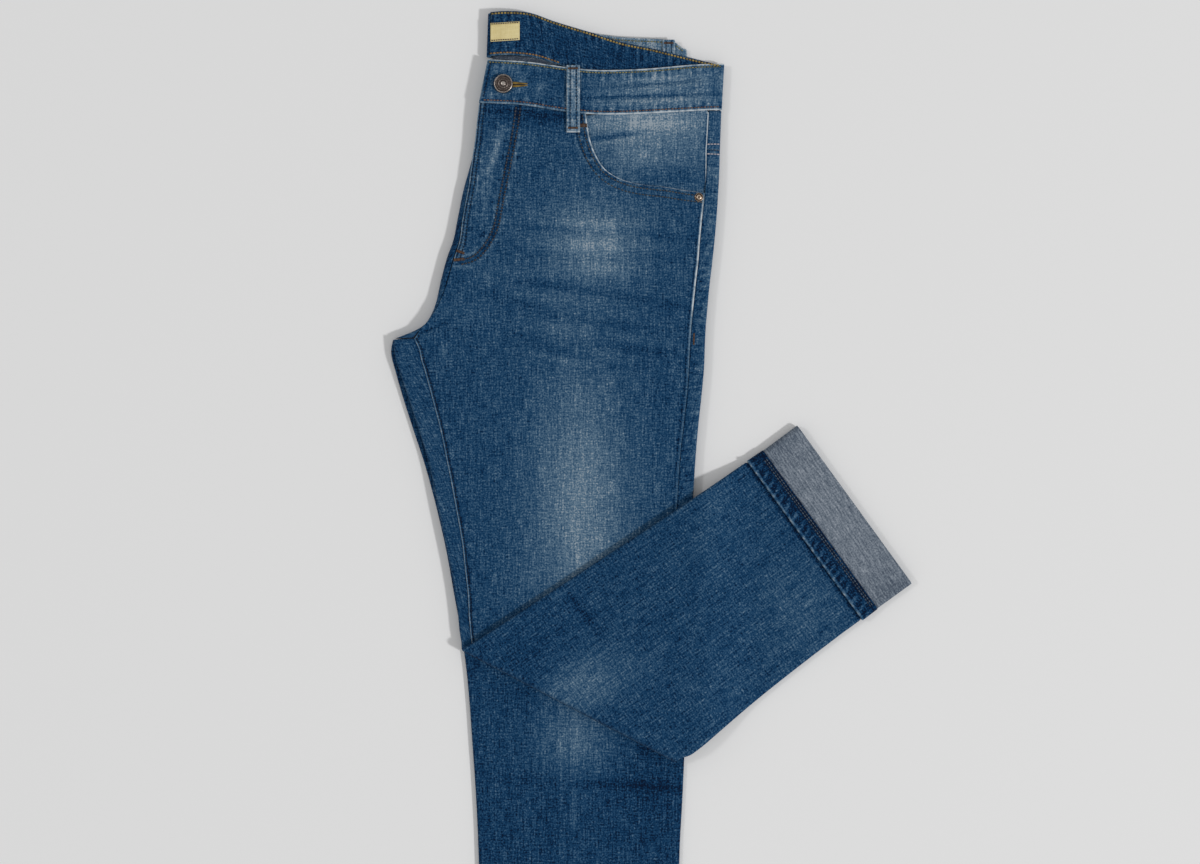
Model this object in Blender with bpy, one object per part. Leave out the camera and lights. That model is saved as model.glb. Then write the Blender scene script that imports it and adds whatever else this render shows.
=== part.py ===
"""Five-pocket denim jeans lying flat on the floor, seen from above.

They are folded in half along the centre front and centre back, so the wearer's left half lies on
the right half with the two seats facing each other. The left leg is folded up across itself at the
knee, and its hem is turned up into a cuff. All sizes here are in millimetres, x to the right and y
towards the waist as seen from above, and the floor is z = 0.
"""

from collections import namedtuple
from math import asin, cos, degrees, hypot, pi, radians, sin

import bmesh
import bpy
import numpy as np

# Cloth
MM = 0.001
WALL = 1.5              # one layer of denim, with its slack
BAND_WALL = 2.6         # the waistband's two layers and seam allowance
HEM_WALL = 2.1          # a hem, turned and stitched
LOOP_WALL = 1.1
LABEL_WALL = 1.0
SEAM_GAP = 0.3

# How the layers lie on each other
TUBE = 5.2              # height of one flattened leg
HALF_GAP = 0.4          # between the right half and the left half on it
BAND_TUBE = 6.0         # height of one flattened half of the waistband
LOOP_ROOM = 1.4         # the belt loops lift the left half this much at the waist
UPPER = TUBE + HALF_GAP
UPPER_BAND = BAND_TUBE + HALF_GAP
STACK = UPPER + TUBE
BAND_STACK = UPPER_BAND + BAND_TUBE

# The knee fold: a straight line across the leg, and the leg bent back over it
FOLD_LEFT = (-179.1, -82.3)
FOLD_RIGHT = (25.4, -189.1)
FOLD_INNER = 0.9
FOLD_STEPS = 8
FOLD_RADIUS = TUBE / 2 + FOLD_INNER
FOLD_MIDDLE = UPPER + TUBE / 2
FOLD_START = -(FOLD_RADIUS + TUBE / 2)
CALF_UNDERSIDE = FOLD_MIDDLE + 2 * FOLD_RADIUS - TUBE / 2

# Past the thigh's edge the folded calf sinks to the floor, on the turned-up hem
SINK_FROM_X = 46.0
SINK_TO_X = 102.0
CALF_ON_FLOOR = HEM_WALL + SEAM_GAP

# Trim
BUTTON_AT = (-141.7, 459.9)
BUTTON_ACROSS = 18.3
BUTTON_HEIGHT = 4.4
RIVET_AT = (45.0, 352.0)
RIVET_ACROSS = 8.2
RIVET_HEIGHT = 1.5
LOOP_WIDTH = 12.3
CENTRE_BACK_INSET = 7.0
YOKE_TOP_X = -152.0
YOKE_GAP = 0.9
FACING_UNDERLAP = 8.0
FACING_RISE = 22.0

SECTION_STEPS = 8       # cells across a flat panel
ARC_STEPS = 4           # cells around a folded edge
BACK_EDGE_CELLS = 1 + ARC_STEPS
CENTRE_STEPS = 5        # cells around the fold at the centre front
CENTRE_CELLS = 1 + CENTRE_STEPS
FLY_CLEARANCE = 0.9
FOLD_UP_LEAST = 125.0   # degrees that the right front turns up, where the fly covers it

# A row across a leg, from its outline on the left to its outline on the right. front is how far in
# from the left the front panel's edge lies, and side is how far in from the right the side seam is.
Row = namedtuple("Row", "left_x left_y right_x right_y front side")

LEFT_ROWS = (
    Row(-164.7, 442.1, 66.6, 435.6, 0.0, 15.0),
    Row(-167.2, 421.0, 65.8, 417.0, 0.0, 13.0),
    Row(-169.4, 402.0, 65.2, 397.0, 0.0, 12.8),
    Row(-175.0, 379.0, 64.7, 378.0, 2.2, 12.6),
    Row(-180.6, 358.0, 63.6, 357.0, 4.8, 12.8),
    Row(-185.6, 333.0, 62.0, 333.0, 5.0, 13.8),
    Row(-189.8, 312.0, 60.0, 310.0, 6.4, 14.0),
    Row(-196.2, 294.0, 57.8, 289.0, 7.3, 13.4),
    Row(-202.0, 272.0, 55.5, 270.0, 6.8, 13.4),
    Row(-207.0, 250.0, 54.0, 255.0, 3.4, 13.5),
    Row(-217.5, 231.0, 53.0, 243.0, 1.2, 13.8),
    Row(-247.0, 216.0, 51.8, 230.0, 20.0, 14.0),
    Row(-246.0, 202.0, 51.0, 214.0, 24.5, 14.2),
    Row(-240.0, 182.0, 50.2, 192.0, 24.0, 14.6),
    Row(-232.0, 158.0, 48.0, 166.0, 22.5, 14.2),
    Row(-222.0, 127.0, 45.0, 138.0, 20.5, 14.2),
    Row(-212.5, 95.0, 42.3, 108.0, 17.5, 15.0),
    Row(-204.5, 56.0, 40.0, 72.0, 17.0, 15.2),
    Row(-198.0, 25.0, 38.0, 30.0, 16.2, 15.2),
    Row(-192.5, -1.0, 36.7, -25.0, 14.0, 15.0),
    Row(-188.5, -24.0, 35.6, -75.0, 13.0, 15.0),
    Row(-187.0, -34.0, 34.5, -117.0, 12.6, 15.0),
)
CROTCH_ROW = 11         # the first row with an inner leg
YOKE_ROW = 2            # the seam between yoke and back
POCKET_END_ROW = 5      # the first row below the pocket's opening

# Rows along the knee fold: how far past the fold line, and where its two ends are
FoldRow = namedtuple("FoldRow", "past left_x right_x")
FOLD_ROWS_ABOVE = (FoldRow(-30.0, -185.5, 33.2), FoldRow(-15.0, -183.8, 29.6))
FOLD_ENDS = FoldRow(0.0, -182.0, 22.6)
FOLD_ROWS_BELOW = (FoldRow(13.0, -181.0, 25.4),)

# The calf as it lay before the fold, down to where the cuff turns up
CALF_ROWS = (
    Row(-180.4, -118.0, 25.0, -216.0, 12.3, 15.0),
    Row(-179.5, -148.0, 23.6, -232.0, 12.3, 15.0),
    Row(-178.7, -178.0, 22.2, -249.0, 12.3, 15.0),
    Row(-177.8, -208.0, 20.8, -267.0, 12.3, 15.0),
    Row(-177.0, -238.0, 19.4, -285.0, 12.3, 15.0),
    Row(-176.2, -268.0, 18.0, -304.0, 12.3, 15.0),
    Row(-175.4, -298.0, 16.8, -324.0, 12.3, 15.0),
    Row(-174.7, -328.0, 15.6, -346.0, 12.3, 15.0),
    Row(-174.1, -358.0, 14.6, -369.0, 12.3, 15.0),
    Row(-173.6, -384.0, 13.8, -390.0, 12.3, 15.0),
    Row(-173.2, -405.0, 13.4, -408.5, 12.3, 15.0),
)
HEM_TOP = Row(-171.4, -407.5, 12.6, -411.0, 12.3, 15.0)
HEM_FOOT = Row(-171.2, -425.5, 11.8, -429.0, 12.3, 15.0)
CUFF_MOUTH = Row(-172.4, -466.0, 11.0, -469.6, 12.3, 15.0)

RIGHT_ROWS = (
    Row(-164.2, 442.1, 37.0, 450.6, 0.0, 15.0),
    Row(-166.7, 421.0, 40.0, 430.0, 0.0, 13.0),
    Row(-168.9, 402.0, 46.0, 404.0, 0.0, 12.8),
    Row(-174.8, 379.0, 50.0, 380.0, 2.2, 12.6),
    Row(-180.6, 358.0, 52.0, 357.0, 4.8, 12.8),
    Row(-185.6, 333.0, 52.4, 333.0, 5.0, 13.8),
    Row(-189.8, 312.0, 52.2, 310.0, 6.4, 14.0),
    Row(-196.2, 294.0, 51.5, 289.0, 7.3, 13.4),
    Row(-202.0, 272.0, 50.0, 270.0, 6.8, 13.4),
    Row(-207.0, 250.0, 48.6, 255.0, 3.4, 13.5),
    Row(-217.2, 231.0, 48.0, 243.0, 1.2, 13.8),
    Row(-248.0, 216.0, 47.0, 230.0, 20.0, 14.0),
    Row(-249.8, 205.0, 46.0, 214.0, 24.5, 14.2),
    Row(-244.5, 182.0, 44.6, 192.0, 24.0, 14.6),
    Row(-237.5, 158.0, 43.2, 166.0, 22.5, 14.2),
    Row(-227.5, 127.0, 41.2, 138.0, 20.5, 14.2),
    Row(-217.0, 95.0, 39.2, 108.0, 17.5, 15.0),
    Row(-205.5, 52.0, 37.4, 70.0, 17.0, 15.2),
    Row(-196.5, 12.0, 36.5, 20.0, 16.2, 15.2),
    Row(-189.0, -30.0, 35.0, -30.0, 14.0, 15.0),
    Row(-182.5, -66.0, 33.6, -80.0, 12.8, 15.0),
    Row(-177.6, -100.0, 32.4, -125.0, 12.3, 15.0),
    Row(-174.4, -135.0, 31.8, -168.0, 12.3, 15.0),
    Row(-171.8, -172.0, 30.6, -200.0, 12.3, 15.0),
    Row(-169.0, -212.0, 29.2, -230.0, 12.3, 15.0),
    Row(-166.6, -258.0, 27.2, -265.0, 12.3, 15.0),
    Row(-165.2, -305.0, 26.0, -305.0, 12.3, 15.0),
    Row(-164.2, -365.0, 25.2, -365.0, 12.3, 15.0),
    Row(-163.4, -430.0, 24.4, -430.0, 12.3, 15.0),
    Row(-162.7, -495.0, 23.8, -495.0, 12.3, 15.0),
    Row(-162.3, -529.9, 23.4, -529.9, 12.3, 15.0),
)

# Stations along the waistband, by its upper and lower edge
Station = namedtuple("Station", "top_x top_y foot_x foot_y")

LEFT_BACK_BAND = (
    Station(-156.4, 528.8, -158.2, 487.4),
    Station(-138.0, 529.9, -137.0, 488.6),
    Station(-116.0, 528.1, -112.0, 486.4),
    Station(-92.0, 519.6, -87.0, 478.6),
    Station(-55.3, 508.5, -53.0, 466.4),
    Station(-27.8, 499.8, -27.0, 457.4),
    Station(-0.3, 494.2, -1.0, 451.8),
    Station(27.3, 487.4, 25.0, 444.8),
    Station(54.8, 481.0, 51.0, 438.2),
    Station(66.4, 479.7, 64.0, 435.9),
)
LEFT_FRONT_BAND = (
    Station(66.4, 479.7, 64.0, 435.9),
    Station(36.5, 477.9, 35.5, 434.3),
    Station(-0.6, 474.5, -1.5, 432.3),
    Station(-27.8, 473.1, -29.5, 431.2),
    Station(-55.3, 473.1, -58.0, 431.6),
    Station(-85.1, 476.3, -88.5, 434.8),
    Station(-119.6, 481.1, -124.5, 440.4),
    Station(-156.4, 483.4, -164.7, 442.4),
)
RIGHT_BACK_BAND = (
    Station(-153.0, 528.0, -154.6, 486.6),
    Station(-138.0, 528.9, -137.0, 487.6),
    Station(-116.0, 527.1, -112.0, 485.4),
    Station(-92.0, 518.8, -88.0, 477.8),
    Station(-63.0, 510.8, -60.0, 469.2),
    Station(-30.0, 505.6, -28.5, 464.0),
    Station(9.0, 503.5, 9.5, 461.0),
    Station(22.0, 500.6, 24.0, 457.0),
    Station(30.4, 494.4, 34.4, 450.9),
)
RIGHT_FRONT_BAND = (
    Station(30.4, 494.4, 34.4, 450.9),
    Station(0.0, 485.0, 0.0, 442.6),
    Station(-28.0, 479.0, -29.5, 437.2),
    Station(-55.0, 477.0, -58.0, 435.4),
    Station(-85.0, 478.2, -88.5, 436.8),
    Station(-120.0, 481.6, -124.5, 440.4),
    Station(-150.2, 483.2, -158.2, 442.4),
)

# The front pocket's curved opening, from the waistband to the side seam
CurvePoint = namedtuple("CurvePoint", "x y")
POCKET_CURVE = (
    CurvePoint(-63.0, 431.0),
    CurvePoint(-61.4, 419.0),
    CurvePoint(-59.0, 407.0),
    CurvePoint(-54.4, 394.3),
    CurvePoint(-46.3, 380.8),
    CurvePoint(-35.3, 372.3),
    CurvePoint(-21.8, 366.8),
    CurvePoint(-4.7, 363.6),
    CurvePoint(13.7, 361.6),
    CurvePoint(32.0, 358.6),
    CurvePoint(50.6, 356.3),
)

# Where the left front's rows above the side seam end, counted along the pocket's curve
PocketRow = namedtuple("PocketRow", "left_y along")
POCKET_ROWS = (
    PocketRow(442.1, 0.0),
    PocketRow(427.0, 0.1),
    PocketRow(412.0, 0.2),
    PocketRow(400.0, 0.3),
    PocketRow(389.0, 0.4),
    PocketRow(378.0, 0.52),
    PocketRow(367.0, 0.68),
    PocketRow(356.0, 0.84),
    PocketRow(345.0, 1.0),
)

# The right edge of the right half, which the left half overhangs beside the hip
EdgePoint = namedtuple("EdgePoint", "y x")
RIGHT_HALF_EDGE = (
    EdgePoint(250.0, 48.6),
    EdgePoint(302.0, 52.2),
    EdgePoint(350.0, 52.4),
    EdgePoint(398.0, 47.0),
    EdgePoint(451.0, 37.0),
    EdgePoint(495.0, 33.0),
)
OVERHANG_DROP = 3.6
OVERHANG_START = 10.0
OVERHANG_END = 30.0

# Broad swells and hollows of the pile, each a share of the height there
Swell = namedtuple("Swell", "x y reach_x reach_y rise")
SWELLS = (
    Swell(-90.0, 60.0, 60.0, 170.0, -0.16),
    Swell(-205.0, 240.0, 42.0, 26.0, 0.16),
    Swell(-150.0, 222.0, 46.0, 16.0, -0.1),
    Swell(-120.0, 300.0, 70.0, 24.0, 0.08),
    Swell(5.0, 400.0, 36.0, 30.0, 0.1),
    Swell(-60.0, 345.0, 60.0, 18.0, -0.08),
    Swell(-75.0, -205.0, 50.0, 46.0, 0.1),
    Swell(-70.0, -390.0, 46.0, 110.0, -0.12),
    Swell(-62.0, -42.0, 30.0, 26.0, -0.12),
    Swell(60.0, 30.0, 46.0, 40.0, 0.12),
    Swell(150.0, 10.0, 40.0, 40.0, -0.1),
    Swell(-20.0, 470.0, 40.0, 22.0, 0.08),
    Swell(-110.0, 490.0, 40.0, 26.0, -0.07),
)


def smooth(start, end, value):
    """0 before start, 1 after end, and a soft step between."""
    share = np.clip((value - start) / (end - start), 0.0, 1.0)
    return share * share * (3 - 2 * share)


def through(points, count):
    """A smooth curve through the points of a table, as count evenly spaced places on it."""
    points = np.array(points, float)
    before = 2 * points[0] - points[1]
    after = 2 * points[-1] - points[-2]
    guide = np.vstack([before, points, after])
    dense = []
    for i in range(1, len(guide) - 2):
        p0, p1, p2, p3 = guide[i - 1:i + 3]
        for t in np.linspace(0, 1, 12, endpoint=False):
            dense.append(0.5 * (2 * p1 + (p2 - p0) * t + (2 * p0 - 5 * p1 + 4 * p2 - p3) * t ** 2
                                + (3 * p1 - p0 - 3 * p2 + p3) * t ** 3))
    dense = np.array(dense + [points[-1]])
    steps = np.hypot(*np.diff(dense[:, :2], axis=0).T)
    length = np.concatenate([[0], np.cumsum(steps)])
    where = np.linspace(0, length[-1], count)
    return np.array([np.interp(where, length, dense[:, i]) for i in range(dense.shape[1])]).T


# How a point of the garment lies in the pile

FOLD_RUN = hypot(FOLD_RIGHT[0] - FOLD_LEFT[0], FOLD_RIGHT[1] - FOLD_LEFT[1])
FOLD_ALONG = np.array([FOLD_RIGHT[0] - FOLD_LEFT[0], FOLD_RIGHT[1] - FOLD_LEFT[1]]) / FOLD_RUN
FOLD_DOWN = np.array([FOLD_ALONG[1], -FOLD_ALONG[0]])


def on_fold_row(past, x):
    """The point at x on the line that lies this far past the knee fold."""
    y = (past - (x - FOLD_LEFT[0]) * FOLD_DOWN[0]) / FOLD_DOWN[1]
    return x, FOLD_LEFT[1] + y


def fold_knee(x, y, z):
    """Bends the leg up and back over the fold line, and lets the calf down to the floor."""
    past = (x - FOLD_LEFT[0]) * FOLD_DOWN[0] + (y - FOLD_LEFT[1]) * FOLD_DOWN[1]
    run = past - FOLD_START
    if run <= 0:
        return x, y, z
    turn = min(run / FOLD_RADIUS, pi)
    reach = FOLD_RADIUS - (z - FOLD_MIDDLE)
    moved = FOLD_START + reach * sin(turn) - max(run - pi * FOLD_RADIUS, 0.0)
    x += (moved - past) * FOLD_DOWN[0]
    y += (moved - past) * FOLD_DOWN[1]
    z = FOLD_MIDDLE + FOLD_RADIUS - reach * cos(turn)
    z -= (CALF_UNDERSIDE - CALF_ON_FLOOR) * smooth(SINK_FROM_X, SINK_TO_X, x)
    return x, y, z


def swell(x, y):
    """The pile's height at a place, as a multiple of its plain height."""
    rise = 1.0
    for hill in SWELLS:
        away = ((x - hill.x) / hill.reach_x) ** 2 + ((y - hill.y) / hill.reach_y) ** 2
        rise += hill.rise * np.exp(-away)
    return rise


def lie_below(x, y, z):
    """A point of the right half, which lies straight on the floor."""
    return x, y, z * swell(x, y)


def lie_above(x, y, z):
    """A point of the left half: folded at the knee, lifted at the waist, hanging over the edge."""
    x, y, z = fold_knee(x, y, z)
    z += LOOP_ROOM * smooth(388.0, 432.0, y)
    edge = np.interp(y, [point.y for point in RIGHT_HALF_EDGE], [point.x for point in RIGHT_HALF_EDGE])
    hanging = smooth(OVERHANG_START, OVERHANG_END, x - edge) * smooth(250.0, 330.0, y)
    z -= OVERHANG_DROP * hanging
    return x, y, z * swell(x, y)


# Making solids

def material(name, colour, roughness, metallic=0.0):
    made = bpy.data.materials.new(name)
    made.use_nodes = True
    shader = made.node_tree.nodes["Principled BSDF"]
    shader.inputs["Base Color"].default_value = (*colour, 1.0)
    shader.inputs["Roughness"].default_value = roughness
    shader.inputs["Metallic"].default_value = metallic
    return made


def add_object(name, mesh, finish):
    bmesh.ops.recalc_face_normals(mesh, faces=mesh.faces)
    data = bpy.data.meshes.new(name)
    mesh.to_mesh(data)
    mesh.free()
    data.materials.append(finish)
    data.shade_smooth()
    data.set_sharp_from_angle(angle=radians(40))
    made = bpy.data.objects.new(name, data)
    bpy.context.scene.collection.objects.link(made)
    return made


def cloth(name, grid, wall, finish, lie, there=None, ring=False):
    """A wall of cloth. grid[row][column] is a point of its middle and the way that it faces."""
    rows = len(grid)
    columns = len(grid[0])
    wide = columns if ring else columns - 1
    there = there or (lambda row, column: True)
    mesh = bmesh.new()
    made = {}

    def corner(row, column, face):
        key = (row, column % columns, face)
        if key not in made:
            point, normal = grid[row][column % columns]
            place = np.array(point) + face * wall / 2 * np.array(normal)
            made[key] = mesh.verts.new(np.array(lie(*place)) * MM)
        return made[key]

    def cell(row, column):
        if ring:
            column %= columns
        return 0 <= row < rows - 1 and 0 <= column < wide and there(row, column)

    for row in range(rows - 1):
        for column in range(wide):
            if not cell(row, column):
                continue
            around = ((row, column), (row, column + 1), (row + 1, column + 1), (row + 1, column))
            for face in (1, -1):
                mesh.faces.new([corner(*spot, face) for spot in around])
            beside = ((row - 1, column), (row, column + 1), (row + 1, column), (row, column - 1))
            for i, other in enumerate(beside):
                if not cell(*other):
                    a, b = around[i], around[(i + 1) % 4]
                    mesh.faces.new([corner(*a, 1), corner(*b, 1), corner(*b, -1), corner(*a, -1)])
    return add_object(name, mesh, finish)


def turned(name, at, floor, profile, finish, sides=20):
    """A round piece from a profile of (radius, height) pairs, closed at both ends on its axis."""
    mesh = bmesh.new()
    rings = []
    for radius, height in profile:
        turns = [2 * pi * i / sides for i in range(sides)] if radius else [0]
        ring = []
        for turn in turns:
            spot = (at[0] + radius * cos(turn), at[1] + radius * sin(turn), floor + height)
            ring.append(mesh.verts.new(np.array(spot) * MM))
        rings.append(ring)
    for low, high in zip(rings, rings[1:]):
        for i in range(sides):
            j = (i + 1) % sides
            if len(low) == 1:
                mesh.faces.new([low[0], high[i], high[j]])
            elif len(high) == 1:
                mesh.faces.new([low[i], low[j], high[0]])
            else:
                mesh.faces.new([low[i], low[j], high[j], high[i]])
    return add_object(name, mesh, finish)


# Sections across a leg. Each is a list of (distance from the left outline, height, and the two
# parts of the way that the cloth faces), for one flattened tube that stands on height 0.

def arc(centre, middle, radius, start, end, steps=ARC_STEPS):
    """Points round a folded edge, leaving out the first, which the stretch before it gives."""
    points = []
    for i in range(1, steps + 1):
        turn = radians(start + (end - start) * i / steps)
        points.append((centre + radius * cos(turn), middle + radius * sin(turn), cos(turn), sin(turn)))
    return points


def flat_run(start, end, height, up, steps=SECTION_STEPS):
    """Evenly spaced points of a flat stretch, which faces up or down."""
    return [(start + (end - start) * i / steps, height, 0, up) for i in range(steps + 1)]


def back_section(width, front, side):
    """The back panel: over the inner edge, all along below, and over the outer edge."""
    radius = (TUBE - WALL) / 2
    high = TUBE - WALL / 2
    section = [(front - SEAM_GAP / 2, high, 0, 1), (TUBE / 2, high, 0, 1)]
    section += arc(TUBE / 2, TUBE / 2, radius, 90, 270)
    section += flat_run(TUBE / 2, width - TUBE / 2, WALL / 2, -1)[1:]
    section += arc(width - TUBE / 2, TUBE / 2, radius, -90, 90)
    section.append((width - side + SEAM_GAP / 2, high, 0, 1))
    return section


def seat_section(width, side):
    """The back panel above the crotch: it ends at the centre back, under the fly."""
    section = back_section(width, CENTRE_BACK_INSET, side)
    run = flat_run(CENTRE_BACK_INSET, width - TUBE / 2, WALL / 2, -1)
    return section[:BACK_EDGE_CELLS] + run + section[BACK_EDGE_CELLS + len(run):]


def laid_on_row(row, section, base, flip=False):
    """Stands a section on a row of a leg. flip turns it over, with the back panel on top."""
    start = np.array([row.left_x, row.left_y])
    end = np.array([row.right_x, row.right_y])
    width = hypot(*(end - start))
    way = (end - start) / width
    laid = []
    for along, height, out, up in section:
        if flip:
            height, up = TUBE - height, -up
        spot = start + way * along
        laid.append(((spot[0], spot[1], base + height), (way[0] * out, way[1] * out, up)))
    return laid


def row_width(row):
    return hypot(row.right_x - row.left_x, row.right_y - row.left_y)


def fold_row(past, left_x, right_x):
    left = on_fold_row(past, left_x)
    right = on_fold_row(past, right_x)
    return Row(*left, *right, 12.4, 15.0)


def rows_past_hip():
    """The left leg's rows round the knee fold and down to the cuff's mouth."""
    rows = [fold_row(*row) for row in FOLD_ROWS_ABOVE]
    for i in range(FOLD_STEPS + 1):
        past = FOLD_START + pi * FOLD_RADIUS * i / FOLD_STEPS
        rows.append(fold_row(past, FOLD_ENDS.left_x, FOLD_ENDS.right_x))
    rows += [fold_row(*row) for row in FOLD_ROWS_BELOW]
    return rows + list(CALF_ROWS) + [HEM_TOP, HEM_FOOT, CUFF_MOUTH]


def band_foot(stations, x):
    """The height on the sheet of a waistband's lower edge at x."""
    feet = sorted((station.foot_x, station.foot_y) for station in stations)
    curve = through(feet, 60)
    return np.interp(x, curve[:, 0], curve[:, 1])


# The legs

def back_panel(name, rows, base, lie, finish, flip):
    """One back, from the yoke seam down, which wraps to the front at both its seams."""
    grid = []
    for number, row in enumerate(rows):
        width = row_width(row)
        if number < CROTCH_ROW - YOKE_ROW:
            section = seat_section(width, row.side)
        else:
            section = back_section(width, row.front, row.side)
        grid.append(laid_on_row(row, section, base, flip))
    crotch = CROTCH_ROW - YOKE_ROW

    def there(row, column):
        return row >= crotch or column >= BACK_EDGE_CELLS

    return cloth(name, grid, WALL, finish, lie, there)


def yoke(name, band, front_band, seam, base, lie, finish, flip):
    """The yoke between the back waistband and the back, wrapped round the side as the back is."""
    width = row_width(seam)
    low = laid_on_row(seam, seat_section(width, seam.side), base, flip)[BACK_EDGE_CELLS:]
    grid = []
    for share in (1.0, 0.5, SEAM_GAP / 40):
        line = []
        for number, (point, way) in enumerate(low):
            across = (point[0] - low[0][0][0]) / (seam.right_x - low[0][0][0])
            edge_x = band[-1].foot_x + TUBE / 2
            x = YOKE_TOP_X + (edge_x - YOKE_TOP_X) * across
            y = band_foot(band if number < SECTION_STEPS else front_band, x) - YOKE_GAP
            spot = (point[0] + (x - point[0]) * share, point[1] + (y - point[1]) * share, point[2])
            line.append((spot, way))
        grid.append(line)
    return cloth(name, grid, WALL, finish, lie)


def left_front(finish):
    """The left front, on top: its upper right side is the pocket's curved edge."""
    height = TUBE - WALL / 2
    curve = through(POCKET_CURVE, 101)
    hip_y = [row.left_y for row in LEFT_ROWS][::-1]
    hip_x = [row.left_x + row.front for row in LEFT_ROWS][::-1]
    grid = []
    for number, row in enumerate(POCKET_ROWS):
        left = np.array([np.interp(row.left_y, hip_y, hip_x), row.left_y])
        right = curve[int(row.along * 100)] - (0.0, SEAM_GAP / 2)
        line = []
        for i in range(SECTION_STEPS + 1):
            x, y = left + (right - left) * i / SECTION_STEPS
            if number == 0:
                y = band_foot(LEFT_FRONT_BAND, x) - SEAM_GAP
            line.append(((x, y, UPPER + height), (0, 0, 1)))
        grid.append(line)
    for row in LEFT_ROWS[POCKET_END_ROW:] + tuple(rows_past_hip()):
        end = row_width(row) - row.side - SEAM_GAP / 2
        section = flat_run(row.front + SEAM_GAP / 2, end, height, 1)
        grid.append(laid_on_row(row, section, UPPER))
    return cloth("left_front", grid, WALL, finish, lie_above)


def centre_fold_section(row, end):
    """The right front above the crotch: along the floor, up at the centre front, to the fly edge."""
    radius = STACK / 2
    bend = radius - WALL / 2
    reach = row.front - FLY_CLEARANCE
    share = min(max(radius - reach, 0.0) / radius, 1.0)
    turn = max(FOLD_UP_LEAST, 180.0 - degrees(asin(share)))
    lead = max(reach - radius, SEAM_GAP)
    start = radians(270 - turn)
    first = (radius + bend * cos(start), radius + bend * sin(start), cos(start), sin(start))
    tip = (first[0] + lead * sin(start), first[1] - lead * cos(start), cos(start), sin(start))
    section = [tip, first] + arc(radius, radius, bend, 270 - turn, 270, CENTRE_STEPS)
    return section + flat_run(radius, end, WALL / 2, -1)[1:]


def right_front(finish):
    """The right front, on the floor: at the hip it folds up at the centre front to the fly edge."""
    grid = []
    for number, row in enumerate(RIGHT_ROWS):
        end = row_width(row) - row.side - SEAM_GAP / 2
        if number < CROTCH_ROW:
            section = centre_fold_section(row, end)
        else:
            run = flat_run(row.front + SEAM_GAP / 2, end, WALL / 2, -1)
            section = [run[0]] * CENTRE_CELLS + run
        line = laid_on_row(row, section, 0.0)
        if number == 0:
            for i in range(CENTRE_CELLS, len(line)):
                (x, _, z), way = line[i]
                line[i] = ((x, band_foot(RIGHT_FRONT_BAND, x) - SEAM_GAP, z), way)
        grid.append(line)

    def there(row, column):
        return row < CROTCH_ROW - 1 or column >= CENTRE_CELLS

    return cloth("right_front", grid, WALL, finish, lie_below, there)


def pocket_facing(finish):
    """The denim that shows in the pocket's mouth. It runs on under the front's curved edge."""
    count = 13
    corner = 7
    curve = through(POCKET_CURVE, count)
    foot = through([(p.foot_x, p.foot_y) for p in LEFT_FRONT_BAND], 60)[::-1]
    side_x = 51.6 - SEAM_GAP
    grid = []
    for i in range(count):
        ahead = curve[min(i + 1, count - 1)] - curve[max(i - 1, 0)]
        inward = np.array([ahead[1], -ahead[0]]) / hypot(*ahead)
        low = curve[i] + inward * FACING_UNDERLAP
        low[1] = min(low[1], np.interp(low[0], foot[:, 0], foot[:, 1]) - SEAM_GAP)
        low[0] = min(low[0], side_x)
        if i <= corner:
            x = -52.0 + (side_x + 52.0) * i / corner
            high = np.array([x, np.interp(x, foot[:, 0], foot[:, 1]) - SEAM_GAP])
        else:
            high = np.array([side_x, 433.0 - (433.0 - 366.0) * (i - corner) / (count - 1 - corner)])
        run = hypot(*(high - low))
        line = []
        for share in (0.0, 0.1, 0.25, 0.45, 0.7, 1.0):
            x, y = low + (high - low) * share
            up = smooth(FACING_UNDERLAP, FACING_UNDERLAP + FACING_RISE, share * run)
            z = UPPER + TUBE / 2 + (TUBE / 2 - WALL / 2) * up
            line.append(((x, y, z), (0, 0, 1)))
        grid.append(line)
    return cloth("left_pocket_facing", grid, WALL, finish, lie_above)


# The waistband

def band_line(station, height, out=0.0, up=1.0):
    """Three points across the waistband's width at a station."""
    top = np.array([station[0], station[1]])
    foot = np.array([station[2], station[3]])
    return [((*(top + (foot - top) * share), height), (out, 0, up)) for share in (0.0, 0.5, 1.0)]


def band_bend(station, side, low, high, start, end, face=1, steps=ARC_STEPS):
    """The waistband folded round an edge, between the heights of its two runs."""
    radius = (high - low) / 2
    lines = []
    for i in range(steps + 1):
        turn = radians(start + (end - start) * i / steps)
        moved = Station(station.top_x + side * radius * cos(turn), station.top_y,
                        station.foot_x + side * radius * cos(turn), station.foot_y)
        height = low + radius + radius * sin(turn)
        lines.append(band_line(moved, height, face * side * cos(turn), face * sin(turn)))
    return lines


def waistband_left(finish):
    """Its inside shows along the back, above the front, and its two runs meet at the side."""
    low = UPPER_BAND + BAND_WALL / 2
    high = UPPER_BAND + BAND_TUBE - BAND_WALL / 2
    back = through(LEFT_BACK_BAND, 14)
    back[0] += (3.9, 0.0, 3.9, 0.0)
    front = through(LEFT_FRONT_BAND, 14)
    grid = [band_line(station, low, 0.0, -1.0) for station in back[:-1]]
    grid += band_bend(LEFT_BACK_BAND[-1], 1, low, high, -90, 90)
    grid += [band_line(station, high) for station in front[1:]]
    return cloth("waistband_left", grid, BAND_WALL, finish, lie_above)


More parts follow.
